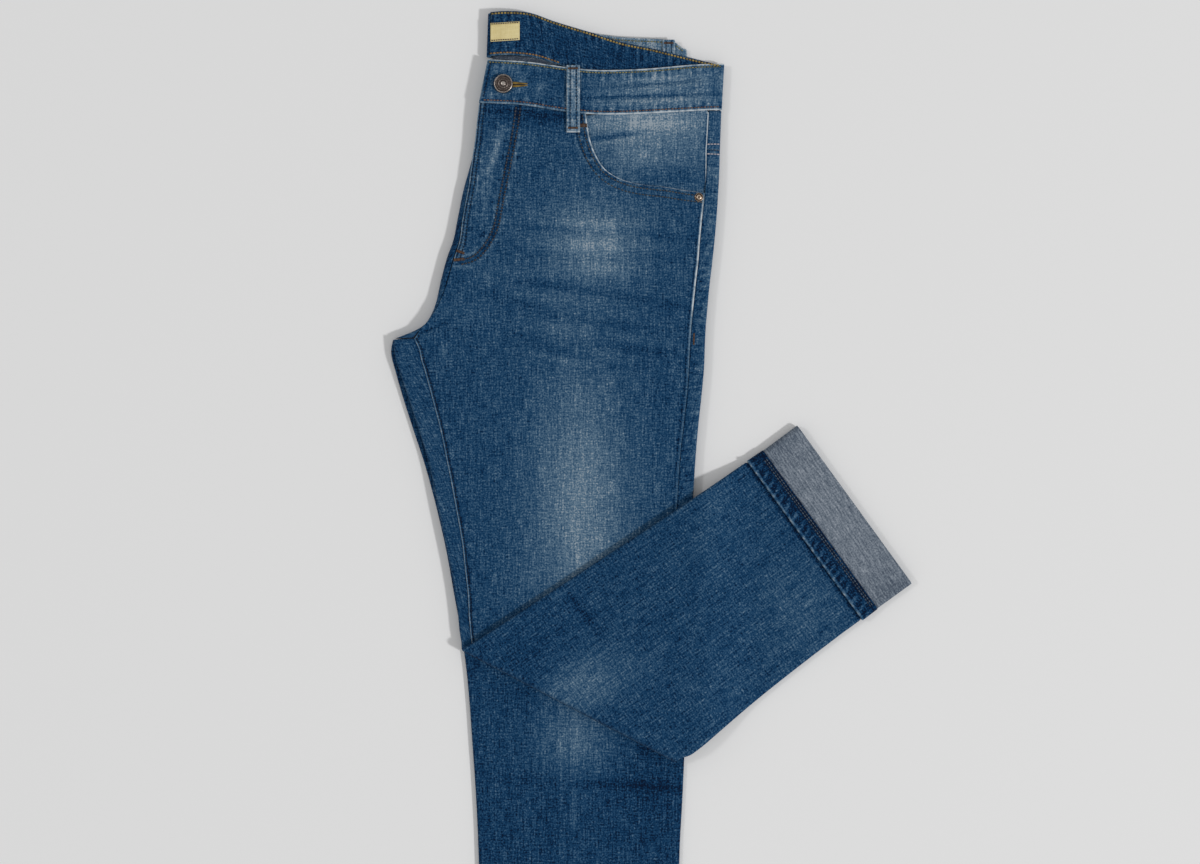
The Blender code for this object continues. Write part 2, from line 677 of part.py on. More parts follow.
def waistband_right(finish):
    """It lies under the left one, folded at the centre back, the side and the centre front."""
    low = BAND_WALL / 2
    high = BAND_TUBE - BAND_WALL / 2
    centre_back = UPPER_BAND + LOOP_ROOM + BAND_WALL / 2
    back = through(RIGHT_BACK_BAND, 14)
    front = through(RIGHT_FRONT_BAND, 14)
    grid = band_bend(RIGHT_BACK_BAND[0], -1, high, centre_back, 90, -90, face=-1)
    grid += [band_line(station, high) for station in back[1:-1]]
    grid += band_bend(RIGHT_BACK_BAND[-1], 1, low, high, 90, -90)
    grid += [band_line(station, low, 0.0, -1.0) for station in front[1:-1]]
    grid += band_bend(RIGHT_FRONT_BAND[-1], -1, low, BAND_STACK - BAND_WALL / 2, -90, 35)
    return cloth("waistband_right", grid, BAND_WALL, finish, lie_below)


# Trim

def cuff_ring(name, first, last, wall, finish):
    """A band round the left leg's end, outside it."""
    tube = TUBE + 2 * (SEAM_GAP + wall)
    grow = SEAM_GAP + wall
    radius = (tube - wall) / 2
    grid = []
    for row in (first, last):
        width = row_width(row) + 2 * grow
        way = np.array([row.right_x - row.left_x, row.right_y - row.left_y]) / row_width(row)
        start = np.array([row.left_x, row.left_y]) - way * grow
        wide = Row(*start, row.right_x + way[0] * grow, row.right_y + way[1] * grow, 0, 0)
        section = flat_run(tube / 2, width - tube / 2, wall / 2, -1)
        section += arc(width - tube / 2, tube / 2, radius, -90, 90)
        section += flat_run(width - tube / 2, tube / 2, tube - wall / 2, 1)[1:]
        section += arc(tube / 2, tube / 2, radius, 90, 270)[:-1]
        grid.append(laid_on_row(wide, section, UPPER - grow))
    return cloth(name, grid, wall, finish, lie_above, ring=True)


def between(first, last, share):
    return Row(*[a + (b - a) * share for a, b in zip(first, last)])


def strip(name, at_x, lengthwise, wall, width, finish, lie):
    """A narrow strip along y, from a list of (y, height of its middle) pairs."""
    grid = []
    for y, height in lengthwise:
        line = []
        for share in (-0.5, 0.0, 0.5):
            line.append(((at_x + width * share, y, height), (0, 0, 1)))
        grid.append(line)
    return cloth(name, grid, wall, finish, lie)


def front_loop(finish):
    band = BAND_STACK + SEAM_GAP + LOOP_WALL / 2
    panel = STACK + SEAM_GAP + LOOP_WALL / 2
    path = [(477.6, band), (465.0, band + 0.6), (450.0, band + 0.8), (437.0, band + 0.3),
            (430.0, band), (424.0, panel + 0.5), (413.9, panel)]
    return strip("belt_loop_front", -75.0, path, LOOP_WALL, LOOP_WIDTH, finish, lie_above)


def back_loop(finish):
    band = BAND_TUBE + SEAM_GAP + LOOP_WALL / 2
    path = [(503.0, band), (490.0, band), (470.0, band), (463.0, band)]
    return strip("belt_loop_back", 16.3, path, LOOP_WALL, 11.4, finish, lie_below)


def label(finish):
    on = UPPER_BAND + BAND_WALL + SEAM_GAP + LABEL_WALL / 2
    path = [(519.0, on), (510.4, on), (501.7, on)]
    return strip("label", -140.2, path, LABEL_WALL, 27.4, finish, lie_above)


def button(finish):
    x, y = BUTTON_AT
    floor = lie_above(x, y, BAND_STACK + SEAM_GAP)[2]
    r = BUTTON_ACROSS / 2
    h = BUTTON_HEIGHT
    profile = [(0, 0), (0.52 * r, 0), (0.52 * r, 0.27 * h), (0.9 * r, 0.3 * h), (r, 0.5 * h),
               (0.97 * r, 0.78 * h), (0.88 * r, 0.93 * h), (0.78 * r, 0.9 * h), (0.6 * r, 0.84 * h),
               (0.3 * r, h), (0, h)]
    return turned("button", BUTTON_AT, floor, profile, finish, 24)


def rivet(finish):
    x, y = RIVET_AT
    floor = lie_above(x, y, STACK)[2] + 2 * SEAM_GAP
    r = RIVET_ACROSS / 2
    h = RIVET_HEIGHT
    profile = [(0, 0), (0.96 * r, 0), (r, 0.3 * h), (0.8 * r, 0.62 * h), (0.42 * r, 0.66 * h),
               (0.3 * r, 0.95 * h), (0, h)]
    return turned("rivet", RIVET_AT, floor, profile, finish, 16)


def build():
    for old in list(bpy.data.objects):
        bpy.data.objects.remove(old)
    denim = material("denim", (0.018, 0.045, 0.098), 0.85)
    worn = material("worn denim", (0.055, 0.115, 0.19), 0.85)
    wrong_side = material("denim wrong side", (0.11, 0.135, 0.17), 0.9)
    cream = material("label cloth", (0.47, 0.41, 0.22), 0.8)
    brass = material("aged brass", (0.1, 0.085, 0.07), 0.4, 0.9)

    right_front(denim)
    back_panel("right_back", RIGHT_ROWS[YOKE_ROW:], 0.0, lie_below, denim, flip=True)
    yoke("right_yoke", RIGHT_BACK_BAND, RIGHT_FRONT_BAND, RIGHT_ROWS[YOKE_ROW], 0.0, lie_below,
         denim, flip=True)
    waistband_right(denim)
    left_rows = list(LEFT_ROWS[YOKE_ROW:]) + rows_past_hip()
    back_panel("left_back", left_rows, UPPER, lie_above, denim, flip=False)
    yoke("left_yoke", LEFT_BACK_BAND, LEFT_FRONT_BAND, LEFT_ROWS[YOKE_ROW], UPPER, lie_above,
         denim, flip=False)
    left_front(worn)
    pocket_facing(worn)
    waistband_left(denim)
    gap = SEAM_GAP / 2 / (HEM_FOOT.left_y - CUFF_MOUTH.left_y)
    cuff_ring("left_cuff", between(HEM_FOOT, CUFF_MOUTH, gap), CUFF_MOUTH, WALL, wrong_side)
    cuff_ring("left_hem", HEM_TOP, between(HEM_FOOT, CUFF_MOUTH, -gap), HEM_WALL, denim)
    front_loop(denim)
    back_loop(denim)
    label(cream)
    button(brass)
    rivet(brass)


build()
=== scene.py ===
"""The looks of a pair of five-pocket denim jeans that lie folded on a pale floor, seen from above.

Sizes are in millimetres, x to the right and y towards the waist as seen from above. The wearer's
left half lies on the right half, the left leg is folded up across itself at the knee, and its hem
is turned up into a cuff.
"""

from collections import namedtuple
from math import asin, cos, degrees, hypot, pi, radians, sin, tau

import bpy
import numpy as np
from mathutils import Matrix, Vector
from mathutils.bvhtree import BVHTree


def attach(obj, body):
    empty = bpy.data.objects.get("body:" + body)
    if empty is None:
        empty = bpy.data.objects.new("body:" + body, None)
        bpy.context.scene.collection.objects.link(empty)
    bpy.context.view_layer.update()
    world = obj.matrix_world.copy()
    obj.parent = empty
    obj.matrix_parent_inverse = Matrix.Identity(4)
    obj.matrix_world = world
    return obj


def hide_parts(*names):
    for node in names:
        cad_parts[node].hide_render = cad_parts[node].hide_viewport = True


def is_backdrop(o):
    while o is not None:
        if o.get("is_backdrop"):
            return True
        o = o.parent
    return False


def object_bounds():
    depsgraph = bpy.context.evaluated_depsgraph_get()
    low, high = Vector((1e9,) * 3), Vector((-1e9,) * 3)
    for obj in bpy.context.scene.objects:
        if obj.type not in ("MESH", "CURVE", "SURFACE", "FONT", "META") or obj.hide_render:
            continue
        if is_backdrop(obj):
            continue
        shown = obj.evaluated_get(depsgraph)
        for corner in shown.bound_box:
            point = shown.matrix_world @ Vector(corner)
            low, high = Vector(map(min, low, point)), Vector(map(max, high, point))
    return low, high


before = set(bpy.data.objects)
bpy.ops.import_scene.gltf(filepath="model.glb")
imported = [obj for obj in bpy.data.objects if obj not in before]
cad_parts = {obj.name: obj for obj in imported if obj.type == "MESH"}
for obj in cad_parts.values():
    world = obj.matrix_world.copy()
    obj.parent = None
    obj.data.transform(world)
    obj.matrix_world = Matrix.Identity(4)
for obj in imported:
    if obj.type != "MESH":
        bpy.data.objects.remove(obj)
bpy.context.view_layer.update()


# The pile: two halves of two layers each, one leg folded over both. Everything that is sewn lies by
# these heights and hollows, from the floor up, as the cloth settled when it was laid down.

MM = 0.001
WALL = 1.5
BAND_WALL = 2.6
SEAM_GAP = 0.3
TUBE = 5.2
BAND_TUBE = 6.0
HALF_GAP = 0.4
LOOP_ROOM = 1.4
UPPER = TUBE + HALF_GAP
UPPER_BAND = BAND_TUBE + HALF_GAP
STACK = UPPER + TUBE
BAND_STACK = UPPER_BAND + BAND_TUBE
HEM_WALL = 2.1

FOLD_LEFT = (-179.1, -82.3)
FOLD_RIGHT = (25.4, -189.1)
FOLD_RADIUS = TUBE / 2 + 0.9
FOLD_MIDDLE = UPPER + TUBE / 2
FOLD_START = -(FOLD_RADIUS + TUBE / 2)
FOLD_RUN = hypot(FOLD_RIGHT[0] - FOLD_LEFT[0], FOLD_RIGHT[1] - FOLD_LEFT[1])
FOLD_ALONG = ((FOLD_RIGHT[0] - FOLD_LEFT[0]) / FOLD_RUN, (FOLD_RIGHT[1] - FOLD_LEFT[1]) / FOLD_RUN)
FOLD_DOWN = (FOLD_ALONG[1], -FOLD_ALONG[0])
CALF_UNDERSIDE = FOLD_MIDDLE + 2 * FOLD_RADIUS - TUBE / 2
CALF_ON_FLOOR = HEM_WALL + SEAM_GAP
SINK_FROM_X = 46.0
SINK_TO_X = 102.0

EdgePoint = namedtuple("EdgePoint", "y x")
RIGHT_HALF_EDGE = (
    EdgePoint(250.0, 48.6),
    EdgePoint(302.0, 52.2),
    EdgePoint(350.0, 52.4),
    EdgePoint(398.0, 47.0),
    EdgePoint(451.0, 37.0),
    EdgePoint(495.0, 33.0),
)
OVERHANG_DROP = 3.6
OVERHANG_START = 10.0
OVERHANG_END = 30.0
OVERHANG_FROM_Y = 250.0
OVERHANG_TO_Y = 330.0
LIFT_FROM_Y = 388.0
LIFT_TO_Y = 432.0

# Broad swells and hollows, each a share of the pile's height there
Swell = namedtuple("Swell", "x y reach_x reach_y rise")
SWELLS = (
    Swell(-90.0, 60.0, 60.0, 170.0, -0.16),
    Swell(-205.0, 240.0, 42.0, 26.0, 0.16),
    Swell(-150.0, 222.0, 46.0, 16.0, -0.1),
    Swell(-120.0, 300.0, 70.0, 24.0, 0.08),
    Swell(5.0, 400.0, 36.0, 30.0, 0.1),
    Swell(-60.0, 345.0, 60.0, 18.0, -0.08),
    Swell(-75.0, -205.0, 50.0, 46.0, 0.1),
    Swell(-70.0, -390.0, 46.0, 110.0, -0.12),
    Swell(-62.0, -42.0, 30.0, 26.0, -0.12),
    Swell(60.0, 30.0, 46.0, 40.0, 0.12),
    Swell(150.0, 10.0, 40.0, 40.0, -0.1),
    Swell(-20.0, 470.0, 40.0, 22.0, 0.08),
    Swell(-110.0, 490.0, 40.0, 26.0, -0.07),
)

# Creases: soft ridges and troughs, each with its middle, length, width, turn and bow, and its rise or
# fall as the same share
Crease = namedtuple("Crease", "x y length width turn bow rise")
CREASES = (
    Crease(-56.0, 327.0, 110.0, 3.8, -3.0, 2.0, 0.07),
    Crease(-38.0, 319.0, 140.0, 3.4, -6.0, 3.0, -0.07),
    Crease(-57.0, 306.0, 96.0, 5.6, -2.0, -2.0, 0.06),
    Crease(-108.0, 298.0, 66.0, 4.2, -4.0, 2.0, -0.06),
    Crease(-50.0, 284.0, 90.0, 5.8, -4.0, -3.0, 0.06),
    Crease(-48.0, 263.0, 156.0, 3.8, -9.0, -2.0, -0.08),
    Crease(-92.0, 255.0, 90.0, 4.4, -8.0, 2.0, 0.06),
    Crease(-76.0, 243.0, 150.0, 4.2, -12.0, 4.0, -0.07),
    Crease(-90.0, 229.0, 92.0, 6.6, -6.0, -3.0, 0.05),
    Crease(-40.0, 212.0, 130.0, 4.4, -9.0, 3.0, -0.06),
    Crease(-213.0, 226.5, 30.0, 2.6, 24.0, 3.0, -0.13),
    Crease(-188.0, 224.0, 44.0, 2.8, -22.0, 6.0, -0.12),
    Crease(-186.0, 231.0, 50.0, 5.0, -18.0, 5.0, 0.07),
    Crease(-34.0, 408.5, 56.0, 2.6, 7.0, -5.0, -0.1),
    Crease(-30.0, 415.0, 64.0, 4.0, 6.0, -5.0, 0.07),
    Crease(16.0, 421.0, 56.0, 3.0, -3.0, 3.0, -0.06),
    Crease(-8.0, 400.0, 70.0, 5.0, 4.0, 4.0, 0.05),
    Crease(-4.0, 449.0, 126.0, 2.4, 2.0, 3.0, -0.09),
    Crease(-8.0, 456.0, 118.0, 3.6, 2.0, 3.0, 0.05),
    Crease(6.0, 462.0, 104.0, 2.2, 4.0, 4.0, -0.05),
    Crease(-12.0, 441.0, 110.0, 3.0, 1.0, 2.0, 0.04),
    Crease(-110.0, 466.0, 50.0, 2.6, 34.0, 2.0, 0.04),
    Crease(-70.0, -38.0, 44.0, 2.2, -46.0, 2.0, -0.07),
    Crease(-62.0, -34.0, 44.0, 4.0, -46.0, 2.0, 0.04),
    Crease(20.0, -30.0, 120.0, 6.0, 30.0, -4.0, 0.03),
    Crease(60.0, -12.0, 130.0, 6.0, 33.0, 4.0, -0.03),
    Crease(-2.0, -212.0, 60.0, 3.4, 3.0, 3.0, -0.1),
    Crease(-6.0, -203.0, 70.0, 5.0, 4.0, 3.0, 0.07),
    Crease(-60.0, -330.0, 120.0, 7.0, 6.0, 6.0, 0.06),
    Crease(-90.0, -350.0, 90.0, 6.0, -4.0, -4.0, -0.05),
    Crease(-40.0, -440.0, 90.0, 7.0, -10.0, 4.0, 0.05),
)


def smooth(start, end, value):
    """0 before start, 1 after end, and a soft step between."""
    share = np.clip((value - start) / (end - start), 0.0, 1.0)
    return share * share * (3 - 2 * share)


def on_crease(crease, x, y):
    """How strongly a place lies on a crease: 1 on its middle, 0 well away from it."""
    turn = radians(crease.turn)
    along = 2 * ((x - crease.x) * cos(turn) + (y - crease.y) * sin(turn)) / crease.length
    across = (y - crease.y) * cos(turn) - (x - crease.x) * sin(turn) - crease.bow * (along ** 2 - 0.3)
    return np.exp(-along ** 2 - (across / crease.width) ** 2)


def swell(x, y):
    """The pile's height at a place, as a multiple of its plain height."""
    rise = 1.0
    for hill in SWELLS:
        rise = rise + hill.rise * np.exp(-((x - hill.x) / hill.reach_x) ** 2
                                         - ((y - hill.y) / hill.reach_y) ** 2)
    for crease in CREASES:
        rise = rise + crease.rise * on_crease(crease, x, y)
    return rise


def fold_knee(x, y, z):
    """Bends the leg up and back over the fold line, and lets the calf down to the floor."""
    past = (x - FOLD_LEFT[0]) * FOLD_DOWN[0] + (y - FOLD_LEFT[1]) * FOLD_DOWN[1]
    run = past - FOLD_START
    turn = np.clip(run / FOLD_RADIUS, 0.0, pi)
    reach = FOLD_RADIUS - (z - FOLD_MIDDLE)
    moved = FOLD_START + reach * np.sin(turn) - np.maximum(run - pi * FOLD_RADIUS, 0.0)
    folded_x = x + (moved - past) * FOLD_DOWN[0]
    folded_y = y + (moved - past) * FOLD_DOWN[1]
    folded_z = FOLD_MIDDLE + FOLD_RADIUS - reach * np.cos(turn)
    folded_z = folded_z - (CALF_UNDERSIDE - CALF_ON_FLOOR) * smooth(SINK_FROM_X, SINK_TO_X, folded_x)
    below = run > 0
    return np.where(below, folded_x, x), np.where(below, folded_y, y), np.where(below, folded_z, z)


def lie_below(x, y, z):
    """Places of the right half, which lies straight on the floor."""
    return x, y, z * swell(x, y)


def lie_above(x, y, z):
    """Places of the left half: folded at the knee, lifted at the waist, hanging over the edge."""
    x, y, z = fold_knee(x, y, z)
    z = z + LOOP_ROOM * smooth(LIFT_FROM_Y, LIFT_TO_Y, y)
    edge = np.interp(y, *zip(*RIGHT_HALF_EDGE))
    z = z - (OVERHANG_DROP * smooth(OVERHANG_START, OVERHANG_END, x - edge)
             * smooth(OVERHANG_FROM_Y, OVERHANG_TO_Y, y))
    return x, y, z * swell(x, y)


# Denim: indigo warp over a white weft in a twill, with thick and thin threads that show as streaks
# both ways. It is dark where it is unworn and pale where it was sanded, and white on rubbed edges.

class Wired:
    """A socket in a material. Sums and products of it add Math nodes."""

    def __init__(self, finish, socket):
        self.finish = finish
        self.socket = socket

    def maths(self, operation, *values):
        return self.finish.add("ShaderNodeMath", {"operation": operation}, values)

    def then(self, operation, *values):
        return self.maths(operation, self, *values)

    def __add__(self, other):
        return self.maths("ADD", self, other)

    def __sub__(self, other):
        return self.maths("SUBTRACT", self, other)

    def __rsub__(self, other):
        return self.maths("SUBTRACT", other, self)

    def __mul__(self, other):
        return self.maths("MULTIPLY", self, other)

    def __pow__(self, power):
        return self.maths("POWER", self, power)

    __radd__ = __add__
    __rmul__ = __mul__


class Finish:
    """A material that is put together node by node round one Principled shader."""

    def __init__(self, name, **constants):
        self.made = bpy.data.materials.new(name)
        self.made.use_nodes = True
        self.nodes = self.made.node_tree.nodes
        self.links = self.made.node_tree.links
        self.shader = self.nodes["Principled BSDF"]
        for socket, value in constants.items():
            self.shader.inputs[socket.replace("_", " ")].default_value = value

    def add(self, kind, settings, sockets, output=0):
        """Adds a node. Its settings come first, then the values or links of its sockets."""
        node = self.nodes.new(kind)
        for setting, value in settings.items():
            if setting == "stops":
                # A new ramp has two stops already, which become its two ends
                ramp = node.color_ramp.elements
                for i, (place, colour) in enumerate((value[0], value[-1], *value[1:-1])):
                    stop = ramp[i] if i < 2 else ramp.new(place)
                    stop.position = place
                    stop.color = (*colour, 1.0)
            else:
                setattr(node, setting, value)
        named = sockets.items() if isinstance(sockets, dict) else enumerate(sockets)
        for socket, value in named:
            if isinstance(value, Wired):
                self.links.new(value.socket, node.inputs[socket])
            else:
                node.inputs[socket].default_value = value
        return Wired(self, node.outputs[output])

    def measured(self, label):
        """A number that the mesh holds at each of its points, such as how pale the cloth is."""
        return self.add("ShaderNodeAttribute", {"attribute_name": label}, {}, 2)

    def vary(self, socket, value):
        self.links.new(value.socket, self.shader.inputs[socket])

    def grain(self, place, scale, detail=2.0, shift=0.0):
        """Noise that is stretched by its two frequencies, in cycles a metre, round 0."""
        stretched = self.add("ShaderNodeVectorMath", {"operation": "MULTIPLY_ADD"},
                             [place, (*scale, 1.0), (shift, 1.7 * shift, 0.0)])
        noise = self.add("ShaderNodeTexNoise", {"noise_dimensions": "2D"},
                         {"Vector": stretched, "Scale": 1.0, "Detail": detail})
        return noise - 0.5


def screen(red, green, blue):
    """A colour as it looks on a screen, from 0 to 255, as light."""
    levels = [value / 255 for value in (red, green, blue)]
    return tuple(v / 12.92 if v <= 0.04045 else ((v + 0.055) / 1.055) ** 2.4 for v in levels)


# How bright a white cloth would look under the lights
DENIM_LIT = 0.875
DENIM_STOPS = (
    (0.0, screen(2, 18, 42)),
    (0.2, screen(3, 42, 75)),
    (0.35, screen(17, 56, 89)),
    (0.5, screen(38, 71, 100)),
    (0.65, screen(64, 91, 115)),
    (0.8, screen(89, 114, 134)),
    (0.9, screen(120, 135, 147)),
    (1.0, screen(176, 184, 190)),
)
TWILL_PITCH = 0.0011
PALEST_UNRUBBED = 0.93

# How strongly the threads show: along the warp, along the weft, as specks and as broad streaks
Grain = namedtuple("Grain", "warp weft fine broad")


def denim_weave(finish, cut, share):
    """The streaks of thick and thin threads, and how high the threads stand."""
    warp = finish.grain(cut, (640.0, 60.0), 2.0, 3.0)
    weft = finish.grain(cut, (90.0, 620.0), 2.0, 11.0)
    fine = finish.grain(cut, (620.0, 620.0), 2.0, 23.0)
    slub = finish.grain(cut, (260.0, 9.0), 1.0, 31.0)
    cloud = finish.grain(cut, (60.0, 34.0), 3.0, 47.0)
    streaks = warp * share.warp + weft * share.weft + fine * share.fine + (slub + cloud) * share.broad
    across = finish.add("ShaderNodeSeparateXYZ", {}, [cut])
    up = finish.add("ShaderNodeSeparateXYZ", {}, [cut], 1)
    ribs = ((across + up) * (tau / TWILL_PITCH)).then("SINE")
    return streaks, warp * 0.8 + weft * 0.8 + fine + ribs * 0.12


def denim_finish(name, stops, share):
    finish = Finish(name, Roughness=0.88, Sheen_Weight=0.03, Sheen_Roughness=0.5,
                    Specular_IOR_Level=0.08)
    cut = finish.add("ShaderNodeUVMap", {"uv_map": "cut"}, {})
    tone = finish.measured("tone")
    rubbed = finish.measured("rubbed")
    puckered = finish.measured("puckered")
    streaks, height = denim_weave(finish, cut, share)
    patchy = finish.grain(cut, (170.0, 170.0), 2.0, 5.0)
    wear = rubbed * (patchy * 0.7 + 1.0)
    woven = tone + streaks * (0.78 - 0.48 * tone) + puckered * patchy * 1.2
    woven = woven.then("MINIMUM", PALEST_UNRUBBED)
    whole = finish.add("ShaderNodeMath", {"operation": "ADD", "use_clamp": True},
                       [woven, wear * (1.0 - woven)])
    colour = finish.add("ShaderNodeValToRGB", {"stops": stops}, [whole])
    lit = finish.add("ShaderNodeMix", {"data_type": "RGBA", "blend_type": "MULTIPLY"},
                     {"Factor": 1.0, "A": colour, "B": (1 / DENIM_LIT,) * 3 + (1.0,)}, 2)
    finish.vary("Base Color", lit)
    relief = height + puckered * patchy * 6.0
    bump = finish.add("ShaderNodeBump", {}, {"Strength": 0.55, "Distance": 0.00035, "Height": relief})
    finish.vary("Normal", bump)
    return finish.made


denim = denim_finish("denim", DENIM_STOPS, Grain(warp=0.95, weft=0.85, fine=1.7, broad=0.26))
WRONG_SIDE_STOPS = (
    (0.0, screen(36, 44, 58)),
    (0.35, screen(66, 76, 90)),
    (0.5, screen(92, 102, 114)),
    (0.7, screen(128, 136, 146)),
    (1.0, screen(196, 200, 204)),
)
wrong_side = denim_finish("denim wrong side", WRONG_SIDE_STOPS,
                          Grain(warp=0.2, weft=0.95, fine=0.9, broad=0.06))


# Cut panels: each is a wall of one cloth, laid row by row. A section across a leg gives its points
# and the way that they face, and the same points unrolled give its threads their direction.

Row = namedtuple("Row", "left_x left_y right_x right_y front side")
ROW_STEP = 3.0
BESIDE_SEAM = (0.0, 0.5, 1.1, 1.8, 2.8, 4.2, 6.2)
BESIDE_HEM = BESIDE_SEAM + (8.2, 9.8, 11.0, 12.0, 13.4)
ARC_STEPS = 8
CENTRE_BACK_INSET = 7.0


def refined(rows, step=ROW_STEP):
    """Rows between those of a table, on a smooth curve that never swings past them, and where
    each row of the table comes among them."""
    rows = np.array(rows, float)
    change = np.diff(rows, axis=0)
    steps = np.maximum(np.hypot(*change[:, :2].T), np.hypot(*change[:, 2:4].T))
    slope = change / steps[:, None]
    before, after = slope[:-1], slope[1:]
    same_way = before * after > 0
    total = np.where(same_way, before + after, 1.0)
    lean = np.vstack([slope[:1], np.where(same_way, 2 * before * after / total, 0.0), slope[-1:]])
    fine = []
    places = []
    for i, run in enumerate(steps):
        places.append(len(fine))
        count = max(1, round(run / step))
        for t in np.linspace(0, 1, count, endpoint=False):
            fine.append((1 + 2 * t) * (1 - t) ** 2 * rows[i] + t * (1 - t) ** 2 * run * lean[i]
                        + t * t * (3 - 2 * t) * rows[i + 1] - t * t * (1 - t) * run * lean[i + 1])
    places.append(len(fine))
    return np.array(fine + [rows[-1]]), places


def beside(start, end, count, offsets=BESIDE_SEAM):
    """Places from start to end: close together beside both ends, and even between."""
    way = 1 if end > start else -1
    near = [offset for offset in offsets if offset < abs(end - start) / 3]
    first = [start + way * offset for offset in near]
    last = [end - way * offset for offset in near][::-1]
    return first + list(np.linspace(first[-1], last[0], count - 2 * len(near) + 2)[1:-1]) + last


def level(places, height, up):
    return [(place, height, 0.0, up) for place in places]


def arc(centre, middle, radius, start, end, steps=ARC_STEPS):
    """Points round a folded edge, leaving out the first, which the stretch before it gives."""
    turns = [radians(start + (end - start) * i / steps) for i in range(1, steps + 1)]
    return [(centre + radius * cos(t), middle + radius * sin(t), cos(t), sin(t)) for t in turns]


STRIP_STEPS = 10
FLAT_STEPS = 66
BACK_EDGE = STRIP_STEPS - 1 + ARC_STEPS


def back_section(width, front, side, inset=TUBE / 2):
    """The back panel: over the inner edge, all along below, and over the outer edge."""
    radius = (TUBE - WALL) / 2
    high = TUBE - WALL / 2
    section = level(np.linspace(front - SEAM_GAP / 2, TUBE / 2, STRIP_STEPS), high, 1)
    section += arc(TUBE / 2, TUBE / 2, radius, 90, 270)
    # The fold's last point is also the first one of a run that starts right beside it
    taken = 1 if inset == TUBE / 2 else 0
    section += level(np.linspace(inset, width - TUBE / 2, FLAT_STEPS), WALL / 2, -1)[taken:]
    section += arc(width - TUBE / 2, TUBE / 2, radius, -90, 90)
    return section + level(np.linspace(width - TUBE / 2, width - side + SEAM_GAP / 2, STRIP_STEPS),
                           high, 1)[1:]


def laid(row, section, base, flip=False):
    """Stands a section on a row: for each point its place, the way it faces, and its cut."""
    start = np.array(row[:2])
    end = np.array(row[2:4])
    way = (end - start) / hypot(*(end - start))
    section = np.array(section)
    along, height, out, up = section.T
    run = np.concatenate([[0], np.cumsum(np.hypot(np.diff(along), np.diff(height)))])
    if flip:
        height, up = TUBE - height, -up
    spot = start + along[:, None] * way
    flat = start + (run + min(along[0], 0.0))[:, None] * way
    return np.column_stack([spot, base + height, out[:, None] * way, up, flat])


def width_of(row):
    return hypot(row[2] - row[0], row[3] - row[1])


def from_column(grid, column):
    """How far each point of a panel is from one of its long edges, on the cut cloth."""
    return np.linalg.norm(grid[:, :, 6:8] - grid[:, column, None, 6:8], axis=2)


def from_row(grid, row):
    return np.linalg.norm(grid[:, :, 6:8] - grid[None, row, :, 6:8], axis=2)


def stripe(distance, start, end, soft=0.5):
    """1 between two distances from an edge, and 0 elsewhere."""
    return smooth(start - soft, start + soft, distance) * (1 - smooth(end - soft, end + soft, distance))


def ripples(run, pitch):
    """Uneven ripples along a seam that has drawn its cloth in, from -1 to 1."""
    wander = 0.26 * pitch * np.sin(run / (2.0 * pitch)) + 0.17 * pitch * np.sin(run / (0.85 * pitch) + 1.0)
    return np.sin(tau * (run + wander) / pitch)


def facing_up(grid, way=1):
    """1 where a panel faces up, and 0 where it faces down or out to a side."""
    return smooth(0.3, 0.9, way * grid[:, :, 5])


def put_in_scene(name, data):
    made = bpy.data.objects.new(name, data)
    bpy.context.scene.collection.objects.link(made)
    return made


